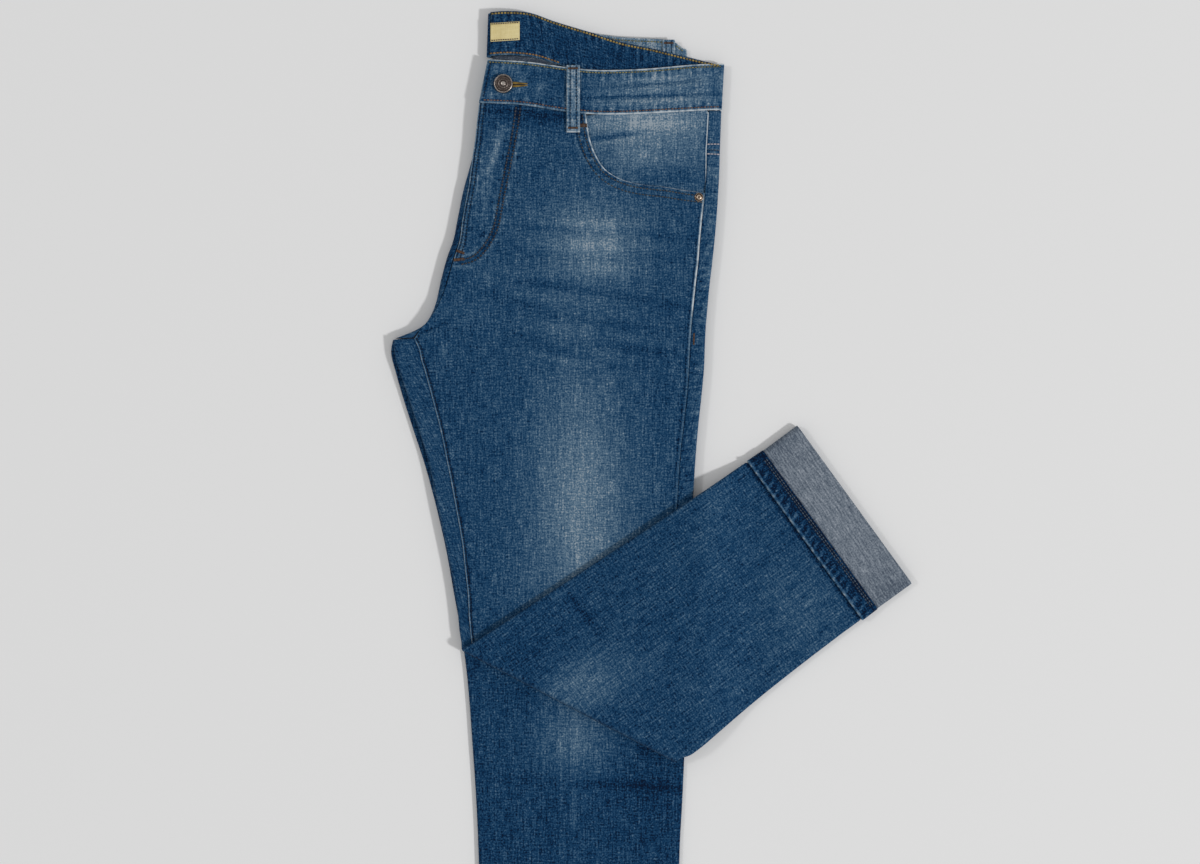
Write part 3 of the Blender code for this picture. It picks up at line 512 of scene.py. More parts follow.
def cloth(name, grid, wall, lie, tone, line=0.0, rubbed=0.0, puckered=0.0, proud=0.0, inner_tone=0.5,
          inner_line=0.0, there=None, ring=False, bulge=0.15, inside=wrong_side, outside=denim):
    """A wall of cloth with rounded edges. tone is how pale it is at a place. At every point of the
    grid, line is how much paler or darker a seam makes it, painted shade and highlights beside raised
    seams and hems included, rubbed how white its edges are, puckered how mottled the seam leaves it,
    and proud how far its outer face stands off. there says which cells of the grid are cloth, and a
    ring closes on itself."""
    rows, columns = grid.shape[:2]
    wide = columns if ring else columns - 1
    cells = np.ones((rows - 1, wide), bool) if there is None else there
    row, column = np.nonzero(cells)
    next_column = (column + 1) % columns
    quads = np.stack([row * columns + column, row * columns + next_column,
                      (row + 1) * columns + next_column, (row + 1) * columns + column], 1)
    cut_column = np.stack([column, column + 1, column + 1, column], 1)
    cut_row = np.stack([row, row, row + 1, row + 1], 1)
    points = grid[:, :, :3].reshape(-1, 3)
    facing = grid[:, :, 3:6].reshape(-1, 3)
    run = np.cross(points[quads[:, 1]] - points[quads[:, 0]], points[quads[:, 3]] - points[quads[:, 0]])
    inward = (run * facing[quads[:, 0]]).sum() < 0

    padded = np.pad(cells, 1)
    if ring:
        padded[:, 0] = padded[:, -2]
        padded[:, -1] = padded[:, 1]
    rim = []
    rim_cut = []
    outward = np.zeros_like(points)
    middle = points[quads].mean(1)
    for side, (down, right) in enumerate(((-1, 0), (0, 1), (1, 0), (0, -1))):
        open_here = ~padded[row + 1 + down, column + 1 + right]
        a, b = side, (side + 1) % 4
        edge = quads[open_here][:, [a, b]]
        away = points[edge].mean(1) - middle[open_here]
        away /= np.maximum(np.linalg.norm(away, axis=1)[:, None], 1e-9)
        np.add.at(outward, edge[:, 0], away)
        np.add.at(outward, edge[:, 1], away)
        rim.append(edge)
        rim_cut.append(np.stack([cut_row[open_here][:, [a, b]], cut_column[open_here][:, [a, b]]], 2))
    rim = np.vstack(rim)
    rim_cut = np.vstack(rim_cut)
    outward /= np.maximum(np.linalg.norm(outward, axis=1)[:, None], 1e-9)

    size = rows * columns
    proud = np.broadcast_to(proud, (rows, columns)).reshape(-1, 1)
    places = np.vstack([points + facing * (wall / 2 + proud), points - facing * wall / 2,
                        points + outward * bulge + facing * proud / 2])
    places = np.array(lie(*places.T)).T * MM
    a, b = rim.T
    if inward:
        a, b = b, a
        rim_cut = rim_cut[:, ::-1]
    outer_order = slice(None, None, -1) if inward else slice(None)
    inner_order = slice(None) if inward else slice(None, None, -1)
    faces = np.vstack([quads[:, outer_order], quads[:, inner_order] + size,
                       np.stack([b, a, a + 2 * size, b + 2 * size], 1),
                       np.stack([b + 2 * size, a + 2 * size, a + size, b + size], 1)])
    cut = grid[:, :, 6:8]
    if ring:
        cut = np.concatenate([cut, cut[:, :1] + (cut[:, 1:2] - cut[:, :1]) * columns], 1)
    around = cut[cut_row, cut_column]
    edge_cut = cut[rim_cut[:, :, 0], rim_cut[:, :, 1]]
    edge_cut = edge_cut[:, [1, 0, 0, 1]]
    corners = np.vstack([around[:, outer_order], around[:, inner_order], edge_cut, edge_cut]) * MM

    used, numbered = np.unique(faces, return_inverse=True)
    mesh = bpy.data.meshes.new(name)
    mesh.from_pydata(places[used].tolist(), [], numbered.reshape(faces.shape).tolist())
    layer = mesh.uv_layers.new(name="cut")
    layer.data.foreach_set("uv", corners.reshape(-1).astype(np.float32))
    x, y, _ = places.T / MM
    shade = tone(x, y) if callable(tone) else np.full(3 * size, tone)
    inner = inner_tone(x, y) if callable(inner_tone) else np.full(3 * size, inner_tone)
    line, inner_line, rubbed, puckered = (np.tile(np.broadcast_to(values, (rows, columns)).reshape(-1), 3)
                                          for values in (line, inner_line, rubbed, puckered))
    shade += line
    shade[size:2 * size] = (inner + inner_line)[size:2 * size]
    for label, values in (("tone", shade), ("rubbed", rubbed), ("puckered", puckered)):
        made = mesh.attributes.new(label, "FLOAT", "POINT")
        made.data.foreach_set("value", values[used].astype(np.float32))
    mesh.materials.append(outside)
    mesh.materials.append(inside)
    slots = np.zeros(len(faces), np.int32)
    slots[len(quads):2 * len(quads)] = 1
    mesh.polygons.foreach_set("material_index", slots)
    mesh.shade_smooth()
    piece = put_in_scene(name, mesh)
    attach(piece, "root")
    cell_area = np.abs(np.cross(np.diff(cut[:-1], axis=1), np.diff(cut[:, :-1], axis=0)))
    piece["cut_area"] = float((cell_area * cells).sum()) * MM * MM
    piece["cut_width"] = float(np.ptp(around[:, :, 0])) * MM
    piece["cut_length"] = float(np.ptp(around[:, :, 1])) * MM
    return piece


def dress(node):
    """Hides a node's part from the model."""
    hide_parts(node)


# Fading: the cloth is palest along the top of the thigh and at the hip, where it was sanded by hand.
# Each patch is a soft patch of paler or darker cloth, with its middle, its reach and its turn. Some
# patches are painted shade and painted highlights along creases, under edges and beside the knee fold.

Patch = namedtuple("Patch", "x y reach_x reach_y turn rise")


def fade_and_shade(base, patches):
    """How pale the cloth is at a place: its plain tone and what each patch adds."""
    def tone(x, y):
        level_here = np.full(np.shape(x), base, float)
        for patch in patches:
            turn = radians(patch.turn)
            along = ((x - patch.x) * cos(turn) + (y - patch.y) * sin(turn)) / patch.reach_x
            across = ((y - patch.y) * cos(turn) - (x - patch.x) * sin(turn)) / patch.reach_y
            level_here += patch.rise * np.exp(-along ** 2 - across ** 2)
        return level_here
    return tone


# Thread: heavy topstitching cotton in golds, browns, greys and navy. Each stitch is a short round
# length that dips into the cloth at both ends, and on bartacks and buttonholes they lie side by side.

# Along a stitch: how far, and how high, thick and bright it is there, as shares of the thread's width.
# Its brightness is painted shade, darkest at both ends where the thread dips into the cloth
StitchRing = namedtuple("StitchRing", "along lift width tone")
STITCH_RINGS = (
    StitchRing(0.0, -0.45, 0.5, 0.0),
    StitchRing(0.12, 0.1, 0.95, 0.55),
    StitchRing(0.5, 0.3, 1.0, 0.8),
    StitchRing(0.88, 0.1, 0.95, 0.55),
    StitchRing(1.0, -0.45, 0.5, 0.0),
)
THREAD_SIDES = 6
STITCH_PITCH = 3.1
STITCH_UNEVEN = 0.35
ABOVE_PILE = 0.1
DOWN = Vector((0.0, 0.0, -1.0))


def thread_finish(name, deep, bright):
    finish = Finish(name, Roughness=0.75, Specular_IOR_Level=0.15)
    tone = finish.measured("tone")
    stops = ((0.0, screen(*deep)), (1.0, screen(*bright)))
    finish.vary("Base Color", finish.add("ShaderNodeValToRGB", {"stops": stops}, [tone]))
    return finish.made


gold_thread = thread_finish("gold thread", (34, 36, 32), (164, 142, 82))
amber_thread = thread_finish("amber thread", (42, 38, 38), (156, 122, 78))
olive_thread = thread_finish("olive thread", (40, 44, 38), (140, 136, 96))
rust_thread = thread_finish("rust thread", (22, 22, 28), (100, 76, 60))
brown_thread = thread_finish("brown thread", (26, 26, 36), (124, 98, 86))
dark_thread = thread_finish("dark brown thread", (18, 22, 32), (72, 72, 76))
navy_thread = thread_finish("navy thread", (2, 10, 26), (26, 42, 62))
grey_thread = thread_finish("grey thread", (22, 28, 38), (82, 84, 84))
slate_thread = thread_finish("slate thread", (10, 18, 34), (86, 98, 110))
pale_thread = thread_finish("pale thread", (112, 118, 134), (178, 172, 176))


def stitched(path, aside=0.0, pitch=STITCH_PITCH, share=0.8):
    """Both ends of each stitch of a row that follows a path, or runs beside it."""
    path = np.array(path, float)[:, :2]
    length = np.concatenate([[0], np.cumsum(np.hypot(*np.diff(path, axis=0).T))])
    starts = np.arange(int(length[-1] / pitch)) * pitch
    along = np.stack([starts, starts + share * pitch], 1)
    ends = np.stack([np.interp(along, length, values) for values in path.T], 2)
    way = ends[:, 1] - ends[:, 0]
    way = way / np.linalg.norm(way, axis=1)[:, None]
    return ends + aside * np.stack([-way[:, 1], way[:, 0]], 1)[:, None]


def bartack(x, y, length, turn, width=2.2, pitch=0.55):
    """Threads side by side, to and fro across a line, that lock the end of a seam."""
    way = np.array([cos(radians(turn)), sin(radians(turn))])
    side = np.array([-way[1], way[0]]) * width / 2
    rows = []
    for i, along in enumerate(np.arange(0, length, pitch)):
        middle = np.array([x, y]) + way * (along - length / 2)
        lean = way * pitch / 2 * (-1) ** i
        rows.append((middle - side - lean, middle + side + lean))
    return np.array(rows)


def tube_faces(first, rings, sides):
    """The faces between rings of points, one ring after another from point number first on."""
    return [(low + i, low + (i + 1) % sides, low + sides + (i + 1) % sides, low + sides + i)
            for low in range(first, first + (rings - 1) * sides, sides) for i in range(sides)]


def sew(name, panel, rows, finish, width=0.85):
    """Threads in a panel: rows of stitches, by the ends of each of them."""
    top = BVHTree.FromPolygons([vertex.co for vertex in panel.data.vertices],
                               [face.vertices[:] for face in panel.data.polygons])
    places = []
    tones = []
    for start, end in np.concatenate(rows):
        side = Vector((start[1] - end[1], end[0] - start[0], 0.0)).normalized()
        spots = [start + (end - start) * ring.along for ring in STITCH_RINGS]
        hits = [top.ray_cast(Vector((x * MM, y * MM, ABOVE_PILE)), DOWN)[0] for x, y in spots]
        if None in hits:
            continue
        # Uneven from stitch to stitch, by where each one starts
        bright = STITCH_UNEVEN * sin(12.99 * start[0] + 78.23 * start[1])
        for ring, hit in zip(STITCH_RINGS, hits):
            middle = hit - DOWN * ring.lift * width * MM
            for i in range(THREAD_SIDES):
                turn = tau * i / THREAD_SIDES
                out = side * cos(turn) - DOWN * sin(turn)
                places.append(middle + out * ring.width * width / 2 * MM)
                tones.append(ring.tone * (1 + bright))
    faces = []
    around = range(THREAD_SIDES)
    each = THREAD_SIDES * len(STITCH_RINGS)
    for first in range(0, len(places), each):
        faces += tube_faces(first, len(STITCH_RINGS), THREAD_SIDES)
        faces.append([first + i for i in reversed(around)])
        faces.append([first + each - THREAD_SIDES + i for i in around])
    mesh = bpy.data.meshes.new(name)
    mesh.from_pydata(places, [], faces)
    mesh.attributes.new("tone", "FLOAT", "POINT").data.foreach_set("value", tones)
    mesh.materials.append(finish)
    mesh.shade_smooth()
    threads = put_in_scene(name, mesh)
    threads.parent = panel


# Right leg: the wearer's right half lies on the floor with its front down. The front folds up at the
# centre front to the fly, and the back wraps over both side folds to meet it at its two seams.

RIGHT_ROWS = (
    Row(-164.2, 442.1, 37.0, 450.6, 0.0, 15.0),
    Row(-166.7, 421.0, 40.0, 430.0, 0.0, 13.0),
    Row(-168.9, 402.0, 46.0, 404.0, 0.0, 12.8),
    Row(-174.8, 379.0, 50.0, 380.0, 2.2, 12.6),
    Row(-180.6, 358.0, 52.0, 357.0, 4.8, 12.8),
    Row(-185.6, 333.0, 52.4, 333.0, 5.0, 13.8),
    Row(-189.8, 312.0, 52.2, 310.0, 6.4, 14.0),
    Row(-196.2, 294.0, 51.5, 289.0, 7.3, 13.4),
    Row(-202.0, 272.0, 50.0, 270.0, 6.8, 13.4),
    Row(-207.0, 250.0, 48.6, 255.0, 3.4, 13.5),
    Row(-217.2, 231.0, 48.0, 243.0, 1.2, 13.8),
    Row(-248.0, 216.0, 47.0, 230.0, 20.0, 14.0),
    Row(-249.8, 205.0, 46.0, 214.0, 24.5, 14.2),
    Row(-244.5, 182.0, 44.6, 192.0, 24.0, 14.6),
    Row(-237.5, 158.0, 43.2, 166.0, 22.5, 14.2),
    Row(-227.5, 127.0, 41.2, 138.0, 20.5, 14.2),
    Row(-217.0, 95.0, 39.2, 108.0, 17.5, 15.0),
    Row(-205.5, 52.0, 37.4, 70.0, 17.0, 15.2),
    Row(-196.5, 12.0, 36.5, 20.0, 16.2, 15.2),
    Row(-189.0, -30.0, 35.0, -30.0, 14.0, 15.0),
    Row(-182.5, -66.0, 33.6, -80.0, 12.8, 15.0),
    Row(-177.6, -100.0, 32.4, -125.0, 12.3, 15.0),
    Row(-174.4, -135.0, 31.8, -168.0, 12.3, 15.0),
    Row(-171.8, -172.0, 30.6, -200.0, 12.3, 15.0),
    Row(-169.0, -212.0, 29.2, -230.0, 12.3, 15.0),
    Row(-166.6, -258.0, 27.2, -265.0, 12.3, 15.0),
    Row(-165.2, -305.0, 26.0, -305.0, 12.3, 15.0),
    Row(-164.2, -365.0, 25.2, -365.0, 12.3, 15.0),
    Row(-163.4, -430.0, 24.4, -430.0, 12.3, 15.0),
    Row(-162.7, -495.0, 23.8, -495.0, 12.3, 15.0),
    Row(-162.3, -529.9, 23.4, -529.9, 12.3, 15.0),
)
CROTCH_ROW = 11
YOKE_ROW = 2
FLY_CLEARANCE = 0.9
FOLD_UP_LEAST = 125.0
CENTRE_STEPS = 14

seat_rows, seat_places = refined(RIGHT_ROWS[:CROTCH_ROW + 1])
leg_rows, _ = refined(RIGHT_ROWS[CROTCH_ROW:])
right_rows = np.vstack([seat_rows[:-1], leg_rows])
right_crotch = len(seat_rows) - 1


def centre_fold_section(row, end):
    """The right front above the crotch: along the floor, up at the centre front, to the fly edge."""
    radius = STACK / 2
    bend = radius - WALL / 2
    reach = row[4] - FLY_CLEARANCE
    share = min(max(radius - reach, 0.0) / radius, 1.0)
    turn = max(FOLD_UP_LEAST, 180.0 - degrees(asin(share)))
    lead = max(reach - radius, SEAM_GAP)
    start = radians(270 - turn)
    first = (radius + bend * cos(start), radius + bend * sin(start), cos(start), sin(start))
    tip = (first[0] + lead * sin(start), first[1] - lead * cos(start), cos(start), sin(start))
    section = [tip, first] + arc(radius, radius, bend, 270 - turn, 270, CENTRE_STEPS)
    return section + level(np.linspace(radius, end, FLAT_STEPS)[1:], WALL / 2, -1)


def front_section(row):
    end = width_of(row) - row[5] - SEAM_GAP / 2
    run = level(np.linspace(row[4] + SEAM_GAP / 2, end, FLAT_STEPS), WALL / 2, -1)
    return [run[0]] * (1 + CENTRE_STEPS) + run


grid = []
for number, row in enumerate(right_rows):
    end = width_of(row) - row[5] - SEAM_GAP / 2
    section = centre_fold_section(row, end) if number < right_crotch else front_section(row)
    grid.append(laid(row, section, 0.0))
grid = np.array(grid)
open_front = np.ones((grid.shape[0] - 1, grid.shape[1] - 1), bool)
open_front[right_crotch - 1:, :1 + CENTRE_STEPS] = False

Station = namedtuple("Station", "top_x top_y foot_x foot_y")
RIGHT_FRONT_BAND = (
    Station(30.4, 494.4, 34.4, 450.9),
    Station(0.0, 485.0, 0.0, 442.6),
    Station(-28.0, 479.0, -29.5, 437.2),
    Station(-55.0, 477.0, -58.0, 435.4),
    Station(-85.0, 478.2, -88.5, 436.8),
    Station(-120.0, 481.6, -124.5, 440.4),
    Station(-150.2, 483.2, -158.2, 442.4),
)
RIGHT_BACK_BAND = (
    Station(-153.0, 528.0, -154.6, 486.6),
    Station(-138.0, 528.9, -137.0, 487.6),
    Station(-116.0, 527.1, -112.0, 485.4),
    Station(-92.0, 518.8, -88.0, 477.8),
    Station(-63.0, 510.8, -60.0, 469.2),
    Station(-30.0, 505.6, -28.5, 464.0),
    Station(9.0, 503.5, 9.5, 461.0),
    Station(22.0, 500.6, 24.0, 457.0),
    Station(30.4, 494.4, 34.4, 450.9),
)


def through(points, count):
    """A smooth curve through the points of a table, as count evenly spaced places on it."""
    points = np.array(points, float)
    guide = np.vstack([2 * points[0] - points[1], points, 2 * points[-1] - points[-2]])
    dense = []
    for p0, p1, p2, p3 in zip(guide, guide[1:], guide[2:], guide[3:]):
        for t in np.linspace(0, 1, 12, endpoint=False):
            dense.append(0.5 * (2 * p1 + (p2 - p0) * t + (2 * p0 - 5 * p1 + 4 * p2 - p3) * t ** 2
                                + (3 * p1 - p0 - 3 * p2 + p3) * t ** 3))
    dense = np.array(dense + [points[-1]])
    length = np.concatenate([[0], np.cumsum(np.hypot(*np.diff(dense[:, :2], axis=0).T))])
    where = np.linspace(0, length[-1], count)
    return np.array([np.interp(where, length, values) for values in dense.T]).T


def band_foot(stations, x):
    """How far up the sheet a waistband's lower edge lies at x."""
    curve = through(sorted((station.foot_x, station.foot_y) for station in stations), 120)
    return np.interp(x, curve[:, 0], curve[:, 1])


def up_to_band(grid, rows, stations, first):
    """Stretches the uppermost rows of a front, so that they end along the waistband's foot."""
    drop = band_foot(stations, grid[0, first:, 0]) - SEAM_GAP - grid[0, first:, 1]
    share = np.linspace(1, 0, rows)
    grid[:rows, first:, 1] += share[:, None] * drop
    grid[:rows, first:, 7] += share[:, None] * drop


up_to_band(grid, seat_places[1] + 1, RIGHT_FRONT_BAND, 1 + CENTRE_STEPS)
RIGHT_FRONT_FADE = fade_and_shade(0.42, (
    Patch(-70.0, 60.0, 55.0, 130.0, 0.0, 0.34),
    Patch(-60.0, 300.0, 80.0, 50.0, 0.0, 0.24),
    Patch(-194.0, 318.0, 20.0, 90.0, 14.0, -0.22),
))
right_front = cloth("front_right", grid, WALL, lie_below, RIGHT_FRONT_FADE, there=open_front)
dress("right_front")

RIGHT_BACK_FADE_AND_SHADE = fade_and_shade(0.26, (
    Patch(-70.0, -150.0, 44.0, 40.0, 0.0, 0.27),
    Patch(-76.0, -181.0, 38.0, 27.0, 0.0, 0.15),
    # The next four: painted shade along a crease across the leg
    Patch(-22.0, -211.0, 42.0, 3.4, -5.0, -0.14),
    Patch(-104.0, -206.0, 40.0, 5.0, -4.0, -0.09),
    Patch(-50.0, -210.0, 40.0, 4.0, 3.0, -0.06),
    Patch(8.0, -212.0, 30.0, 4.6, -9.0, -0.13),
    # Painted shade beside the knee fold's edge
    Patch(-6.0, -174.0, 22.0, 9.0, -32.0, -0.1),
    Patch(-150.0, -160.0, 30.0, 80.0, 0.0, 0.06),
    Patch(-87.0, -190.0, 1.6, 60.0, 1.0, 0.12),
    Patch(-74.0, -200.0, 1.6, 70.0, 0.0, 0.14),
    Patch(-68.0, -240.0, 16.0, 30.0, 0.0, 0.05),
    Patch(6.0, -215.0, 34.0, 40.0, 0.0, -0.03),
    Patch(-75.0, -380.0, 70.0, 160.0, 0.0, 0.04),
))


def back_grid(rows, crotch, base, flip):
    grid = []
    for number, row in enumerate(rows):
        width = width_of(row)
        inset = CENTRE_BACK_INSET if number < crotch else TUBE / 2
        section = back_section(width, row[4], row[5], inset)
        if inset != TUBE / 2:
            del section[STRIP_STEPS + ARC_STEPS - 1]
        grid.append(laid(row, section, base, flip))
    there = np.ones((len(grid) - 1, len(grid[0]) - 1), bool)
    there[:crotch, :BACK_EDGE] = False
    return np.array(grid), there


right_yoke_row = seat_places[YOKE_ROW]
grid, there = back_grid(right_rows[right_yoke_row:], right_crotch - right_yoke_row, 0.0, True)
RIGHT_HEM_Y = -513.5
in_hem = smooth(RIGHT_HEM_Y + 0.8, RIGHT_HEM_Y - 0.8, grid[:, :, 1])
on_hem_line = stripe(grid[:, :, 1], RIGHT_HEM_Y - 1.0, RIGHT_HEM_Y + 2.0)
RIGHT_HEM_RISE = 0.5
right_back = cloth("back_right", grid, WALL, lie_below, RIGHT_BACK_FADE_AND_SHADE, there=there,
                   proud=RIGHT_HEM_RISE * in_hem * facing_up(grid), puckered=0.7 * in_hem,
                   line=-0.12 * on_hem_line)
dress("right_back")
hem_seam = [(-158.0, RIGHT_HEM_Y - 2.2), (19.0, RIGHT_HEM_Y - 2.2)]
sew("hem_stitches_right", right_back, [stitched(hem_seam)], olive_thread)


# Right yoke: the curved piece between the back and the waistband. It wraps round the side with the
# back, and lies hidden between the layers.

YOKE_TOP_X = -152.0
YOKE_GAP = 0.9
YOKE_ROWS = 14


def yoke_grid(row, band, front_band, base, flip):
    section = back_section(width_of(row), CENTRE_BACK_INSET, row[5], CENTRE_BACK_INSET)
    low = laid(row, section, base, flip)[BACK_EDGE:]
    across = (low[:, 0] - low[0, 0]) / (row[2] - low[0, 0])
    x = YOKE_TOP_X + (band[-1].foot_x + TUBE / 2 - YOKE_TOP_X) * across
    behind = np.arange(len(low)) < FLAT_STEPS
    y = np.where(behind, band_foot(band, x), band_foot(front_band, x)) - YOKE_GAP
    grid = []
    for share in np.linspace(1.0, SEAM_GAP / 40, YOKE_ROWS):
        line = low.copy()
        line[:, 0] += (x - low[:, 0]) * share
        line[:, 1] += (y - low[:, 1]) * share
        line[:, 7] += (y - low[:, 1]) * share
        grid.append(line)
    return np.array(grid)


grid = yoke_grid(right_rows[right_yoke_row], RIGHT_BACK_BAND, RIGHT_FRONT_BAND, 0.0, True)
right_yoke = cloth("yoke_right", grid, WALL, lie_below, fade_and_shade(0.3, ()))
dress("right_yoke")


# Right half of the waistband: two layers of denim, folded at the centre back, at the side and at the
# centre front, where it turns up round the end of the left half and carries the button.

BAND_ACROSS = 30
BAND_STATIONS = 100


def band_line(station, height, out=0.0, up=1.0):
    """A line of points across the waistband's width at a station."""
    top = np.array(station[:2])
    foot = np.array(station[2:4])
    deep = hypot(*(foot - top))
    share = np.array(beside(0.0, deep, BAND_ACROSS)) / deep
    line = np.zeros((BAND_ACROSS, 8))
    line[:, :2] = top + share[:, None] * (foot - top)
    line[:, 2] = height
    line[:, 3] = out
    line[:, 5] = up
    line[:, 7] = -share * deep
    return line


def band_bend(station, side, low, high, start, end, face=1, steps=ARC_STEPS):
    """The waistband folded round an edge, between the heights of its two runs."""
    radius = (high - low) / 2
    lines = []
    for i in range(steps + 1):
        turn = radians(start + (end - start) * i / steps)
        shift = side * radius * cos(turn)
        moved = (station[0] + shift, station[1], station[2] + shift, station[3])
        lines.append(band_line(moved, low + radius + radius * sin(turn), face * side * cos(turn),
                               face * sin(turn)))
    return lines


def band_grid(lines):
    """Joins lines across the band into a grid, with its cut measured along the band."""
    grid = np.array(lines)
    steps = np.linalg.norm(np.diff(grid[:, BAND_ACROSS // 2, :3], axis=0), axis=1)
    grid[:, :, 6] = np.concatenate([[0], np.cumsum(steps)])[:, None]
    return grid


low_run = BAND_WALL / 2
high_run = BAND_TUBE - BAND_WALL / 2
centre_back = UPPER_BAND + LOOP_ROOM + BAND_WALL / 2
back = through(RIGHT_BACK_BAND, BAND_STATIONS)
front = through(RIGHT_FRONT_BAND, BAND_STATIONS)
lines = band_bend(back[0], -1, high_run, centre_back, 90, -90, face=-1)
lines += [band_line(station, high_run) for station in back[1:-1]]
lines += band_bend(back[-1], 1, low_run, high_run, 90, -90)
lines += [band_line(station, low_run, 0.0, -1.0) for station in front[1:-1]]
lines += band_bend(front[-1], -1, low_run, BAND_STACK - BAND_WALL / 2, -90, 35, steps=14)
grid = band_grid(lines)


def beside_edges(grid, start, end):
    """1 on the band's upper and lower edges, fading to 0 between these two depths."""
    depth = -grid[:, :, 7]
    deep = depth.max(1)[:, None]
    return 1 - smooth(start, end, np.minimum(depth, deep - depth))


RIGHT_BAND_FADE = fade_and_shade(0.72, (
    Patch(-10.0, 490.0, 60.0, 20.0, -8.0, 0.08),
))
waistband_right = cloth("band_right", grid, BAND_WALL, lie_below, RIGHT_BAND_FADE,
                        rubbed=0.45 * beside_edges(grid, 0.4, 1.4), inner_tone=0.28, bulge=0.6,
                        line=0.08 * beside_edges(grid, 5.0, 13.0) * ripples(grid[:, :, 6], 9.0),
                        puckered=0.3 * beside_edges(grid, 3.0, 9.0), inside=denim)
dress("waistband_right")


def band_row(stations, share, first=0.0, last=1.0):
    """A path along a waistband, between its upper edge at share 0 and its lower one at 1."""
    curve = through(stations, 200)[int(200 * first):int(200 * last)]
    return curve[:, :2] + (curve[:, 2:] - curve[:, :2]) * share


sew("band_stitches_right", waistband_right, [
    stitched(band_row(RIGHT_BACK_BAND, 0.06)),
    stitched(band_row(RIGHT_BACK_BAND, 0.93)),
], olive_thread, 1.1)


# Belt loop on the right back: a strip of denim folded in three, stitched along both edges, and sewn
# down at its two ends.

LoopPoint = namedtuple("LoopPoint", "y height")
LOOP_WALL = 1.1
LOOP_STITCH_IN = 3.2
LOOP_STEPS = 70
LOOP_COLUMNS = 24
BACK_LOOP_X = 16.3
BACK_LOOP_WIDTH = 11.4
back_loop_height = BAND_TUBE + SEAM_GAP + LOOP_WALL / 2
BACK_LOOP = [LoopPoint(y, back_loop_height) for y in (503.0, 490.0, 476.0, 463.0)]


def belt_loop(name, x, width, points, lie, tone):
    path = through(points, LOOP_STEPS)
    run = np.gradient(path, axis=0)
    run /= np.linalg.norm(run, axis=1)[:, None]
    across = beside(-width / 2, width / 2, LOOP_COLUMNS)
    grid = np.array([[(x + side, y, height, 0.0, run_up, -run_y, side, y) for side in across]
                     for (y, height), (run_y, run_up) in zip(path, run)])
    from_side = np.minimum(from_column(grid, 0), from_column(grid, -1))
    from_end = from_row(grid, -1)
    on_stitches = stripe(from_side, LOOP_STITCH_IN - 0.6, LOOP_STITCH_IN + 0.6, 0.6)
    folded_end = 1 - smooth(7.5, 9.0, from_end)
    rubbed = np.maximum(0.42 * (1 - smooth(0.5, 1.6, from_side)), 0.85 * (1 - smooth(1.0, 2.4, from_end)))
    strip = cloth(name, grid, LOOP_WALL, lie, tone, line=-0.18 * on_stitches, rubbed=rubbed,
                  puckered=np.full(from_side.shape, 0.35), bulge=0.3, inside=denim,
                  proud=0.3 - 0.25 * on_stitches + 0.45 * folded_end)
    rows = [stitched([(x + side, points[0].y - 1.0), (x + side, points[-1].y + 2.0)])
            for side in (LOOP_STITCH_IN - width / 2, width / 2 - LOOP_STITCH_IN)]
    sew(name + "_rows", strip, rows, navy_thread, 0.8)
    ends = [bartack(x, y, width - 3.0, 0.0) for y in (points[0].y - 3.0, points[-1].y + 4.0)]
    sew(name + "_bartacks", strip, ends, rust_thread, 0.75)
    return strip


back_loop = belt_loop("loop_back", BACK_LOOP_X, BACK_LOOP_WIDTH, BACK_LOOP, lie_below, fade_and_shade(0.76, ()))
dress("belt_loop_back")


# Left leg: the wearer's left half lies on the right one with its front up. Past the knee the whole
# leg is folded up and back over itself, so that its back shows on the calf.

LEFT_ROWS = (
    Row(-164.7, 442.1, 66.6, 435.6, 0.0, 15.0),
    Row(-167.2, 421.0, 65.8, 417.0, 0.0, 13.0),
    Row(-169.4, 402.0, 65.2, 397.0, 0.0, 12.8),
    Row(-175.0, 379.0, 64.7, 378.0, 2.2, 12.6),
    Row(-180.6, 358.0, 63.6, 357.0, 4.8, 12.8),
    Row(-185.6, 333.0, 62.0, 333.0, 5.0, 13.8),
    Row(-189.8, 312.0, 60.0, 310.0, 6.4, 14.0),
    Row(-196.2, 294.0, 57.8, 289.0, 7.3, 13.4),
    Row(-202.0, 272.0, 55.5, 270.0, 6.8, 13.4),
    Row(-207.0, 250.0, 54.0, 255.0, 3.4, 13.5),
    Row(-217.5, 231.0, 53.0, 243.0, 1.2, 13.8),
    Row(-247.0, 216.0, 51.8, 230.0, 20.0, 14.0),
    Row(-246.0, 202.0, 51.0, 214.0, 24.5, 14.2),
    Row(-240.0, 182.0, 50.2, 192.0, 24.0, 14.6),
    Row(-232.0, 158.0, 48.0, 166.0, 22.5, 14.2),
    Row(-222.0, 127.0, 45.0, 138.0, 20.5, 14.2),
    Row(-212.5, 95.0, 42.3, 108.0, 17.5, 15.0),
    Row(-204.5, 56.0, 40.0, 72.0, 17.0, 15.2),
    Row(-198.0, 25.0, 38.0, 30.0, 16.2, 15.2),
    Row(-192.5, -1.0, 36.7, -25.0, 14.0, 15.0),
    Row(-188.5, -24.0, 35.6, -75.0, 13.0, 15.0),
    Row(-187.0, -34.0, 34.5, -117.0, 12.6, 15.0),
)
